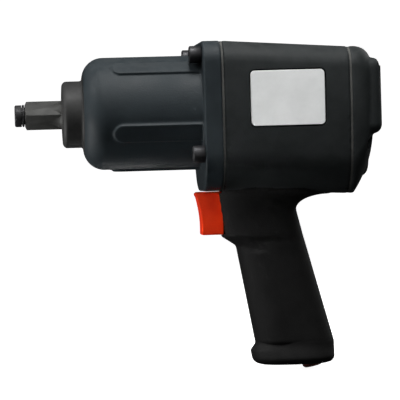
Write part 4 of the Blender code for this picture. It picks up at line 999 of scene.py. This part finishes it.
# Label plate
# A plain pale plastic plate with a satin face and broken edges, bent to the bow of the housing's side.
# It is stuck in a shallow recess on the near side, and a narrow dark groove is left open all round it.
plate_edge = 0.25 * mm
plate = [label_outline(label_back, 0), label_outline(label_low.y + label_sink + plate_edge, 0)]
plate.append(label_outline(label_low.y + label_sink, -plate_edge))
label = skin("bare_label", plate)
set_shape(label, sharp=20)
label_finish = moulded(
    "satin_plate", dark=(0.81, 0.825, 0.82), light=(0.88, 0.895, 0.89), worn=(0.64, 0.65, 0.645),
    shine=(0.5, 0.35), grains=2400, depth=0.03 * mm, dust=0.0, wear=0.3,
)
fit(label, label_finish, "label", "housing", "label_plate")

# Studio
# The wrench stands over a white sweep, under one soft light almost overhead and a weaker one at its nose.
# Fills stand in front, behind and low at the nose; two narrow cards light the trigger and the barrel's foot.
# The camera looks at the near side almost level, a little from the nose end, and is tilted as the photo is.
floor_gap = 0.5 * mm
floor_height = cad_low.z - floor_gap
sweep_centre = 0.01
sweep_flat = 2.2
sweep_bend = 0.5
sweep_top = 2.4
sweep_steps = 96
bend_steps = 16
paper_depth = 0.05 * mm
paper_glow = 0.95
paper_dullness = 0.9
path = [(sweep_centre, floor_height)]
for i in range(bend_steps + 1):
    t = math.pi / 2 * i / bend_steps
    path.append((sweep_flat + sweep_bend * math.sin(t), floor_height + sweep_bend * (1 - math.cos(t))))
path.append((sweep_flat + sweep_bend, sweep_top))
points = []
for radius, height in path:
    for i in range(sweep_steps):
        t = 2 * math.pi * i / sweep_steps
        points.append((radius * math.cos(t), radius * math.sin(t), height))
faces = [tuple(range(sweep_steps - 1, -1, -1))]
for start in range(0, len(points) - sweep_steps, sweep_steps):
    for i in range(sweep_steps):
        j = (i + 1) % sweep_steps
        faces.append((start + i, start + j, start + sweep_steps + j, start + sweep_steps + i))
mesh = bpy.data.meshes.new("white_sweep")
mesh.from_pydata(points, [], faces)
mesh.shade_smooth()
sweep = bpy.data.objects.new("white_sweep", mesh)
scene.collection.objects.link(sweep)
sweep_finish, tree, shader = new_finish("white_paper")
paper = effect(tree, "fine_grain", Grains=300, Patches=3)
for spot, below, above in (("Base Color", 0.9, 0.93), ("Emission Color", 1, 0.98)):
    colour = tint(tree, paper.outputs["Patch"], [below] * 3, [above] * 3)
    tree.links.new(colour, shader.inputs[spot])
shader.inputs["Emission Strength"].default_value = paper_glow
shader.inputs["Roughness"].default_value = paper_dullness
relief = node(tree, "Bump", Distance=paper_depth, Height=paper.outputs["Height"])
tree.links.new(relief.outputs[0], shader.inputs["Normal"])
sweep.data.materials.append(sweep_finish)
sweep.visible_diffuse = False
sweep.visible_glossy = False
sweep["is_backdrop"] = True

aim = Vector((111 * mm, 0, -55 * mm))
trigger_middle = (trigger_low + trigger_high) / 2
barrel_foot = Vector(((nose + flange_front) / 2, 0, -barrel_radius))
open_spread = 180
for name, at, target, size, spread_angle, power in (
    ("soft_top", (0.09, -0.34, 0.82), aim, 0.32, open_spread, 10.2),
    ("nose_light", (-0.7, -0.15, 0.64), aim, 0.5, open_spread, 6.6),
    ("floor_glow", (-0.16, -0.02, -0.11), aim, 0.08, open_spread, 0.5),
    ("front_fill", (0.15, -1.1, 0.6), aim, 0.9, open_spread, 3.1),
    ("trigger_card", (-0.04, -0.7, -0.1), trigger_middle, 0.12, 8, 0.0095),
    ("barrel_card", (0.075, 0.25, -0.28), barrel_foot, 0.06, 14, 0.0014),
    ("rear_fill", (1.1, 0.75, 0.5), aim, 0.9, open_spread, 6.0),
):
    lamp = bpy.data.lights.new(name, "AREA")
    lamp.shape = "DISK"
    lamp.size = size
    lamp.spread = math.radians(spread_angle)
    lamp.energy = power
    light = bpy.data.objects.new(name, lamp)
    light.location = at
    light.rotation_euler = (target - Vector(at)).to_track_quat("-Z", "Y").to_euler()
    light.visible_camera = False
    light.visible_glossy = name != "trigger_card"
    light.visible_diffuse = name != "barrel_card"
    scene.collection.objects.link(light)
air_glow = 0.035
world = bpy.data.worlds.new("studio_air")
world.use_nodes = True
air = world.node_tree.nodes["Background"]
air.inputs["Color"].default_value = (1, 1, 1, 1)
air.inputs["Strength"].default_value = air_glow
scene.world = world

view_turn = math.radians(-5.079)
view_rise = math.radians(0.872)
view_roll = math.radians(-1.661)
view_distance = 1494.4 * mm
picture_pixels = 400
pixel_size = 0.618 * mm
picture_width = picture_pixels * pixel_size
picture_offset = (1.6 * mm, 0.3 * mm)
flat = math.cos(view_rise)
away = Vector((math.sin(view_turn) * flat, -math.cos(view_turn) * flat, math.sin(view_rise)))
level = Vector((math.cos(view_turn), math.sin(view_turn), 0))
upright = away.cross(level)
right = level * math.cos(view_roll) + upright * math.sin(view_roll)
up = upright * math.cos(view_roll) - level * math.sin(view_roll)
lens = bpy.data.cameras.new("camera")
lens.sensor_width = 36
lens.lens = lens.sensor_width * view_distance / picture_width
lens.clip_end = 20
camera = bpy.data.objects.new("camera", lens)
stand = aim + right * picture_offset[0] + up * picture_offset[1] + away * view_distance
camera.matrix_world = Matrix((right, up, away)).transposed().to_4x4()
camera.matrix_world.translation = stand
scene.collection.objects.link(camera)
scene.camera = camera
scene.view_settings.view_transform = "Standard"
scene.view_settings.look = "None"

low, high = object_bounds()
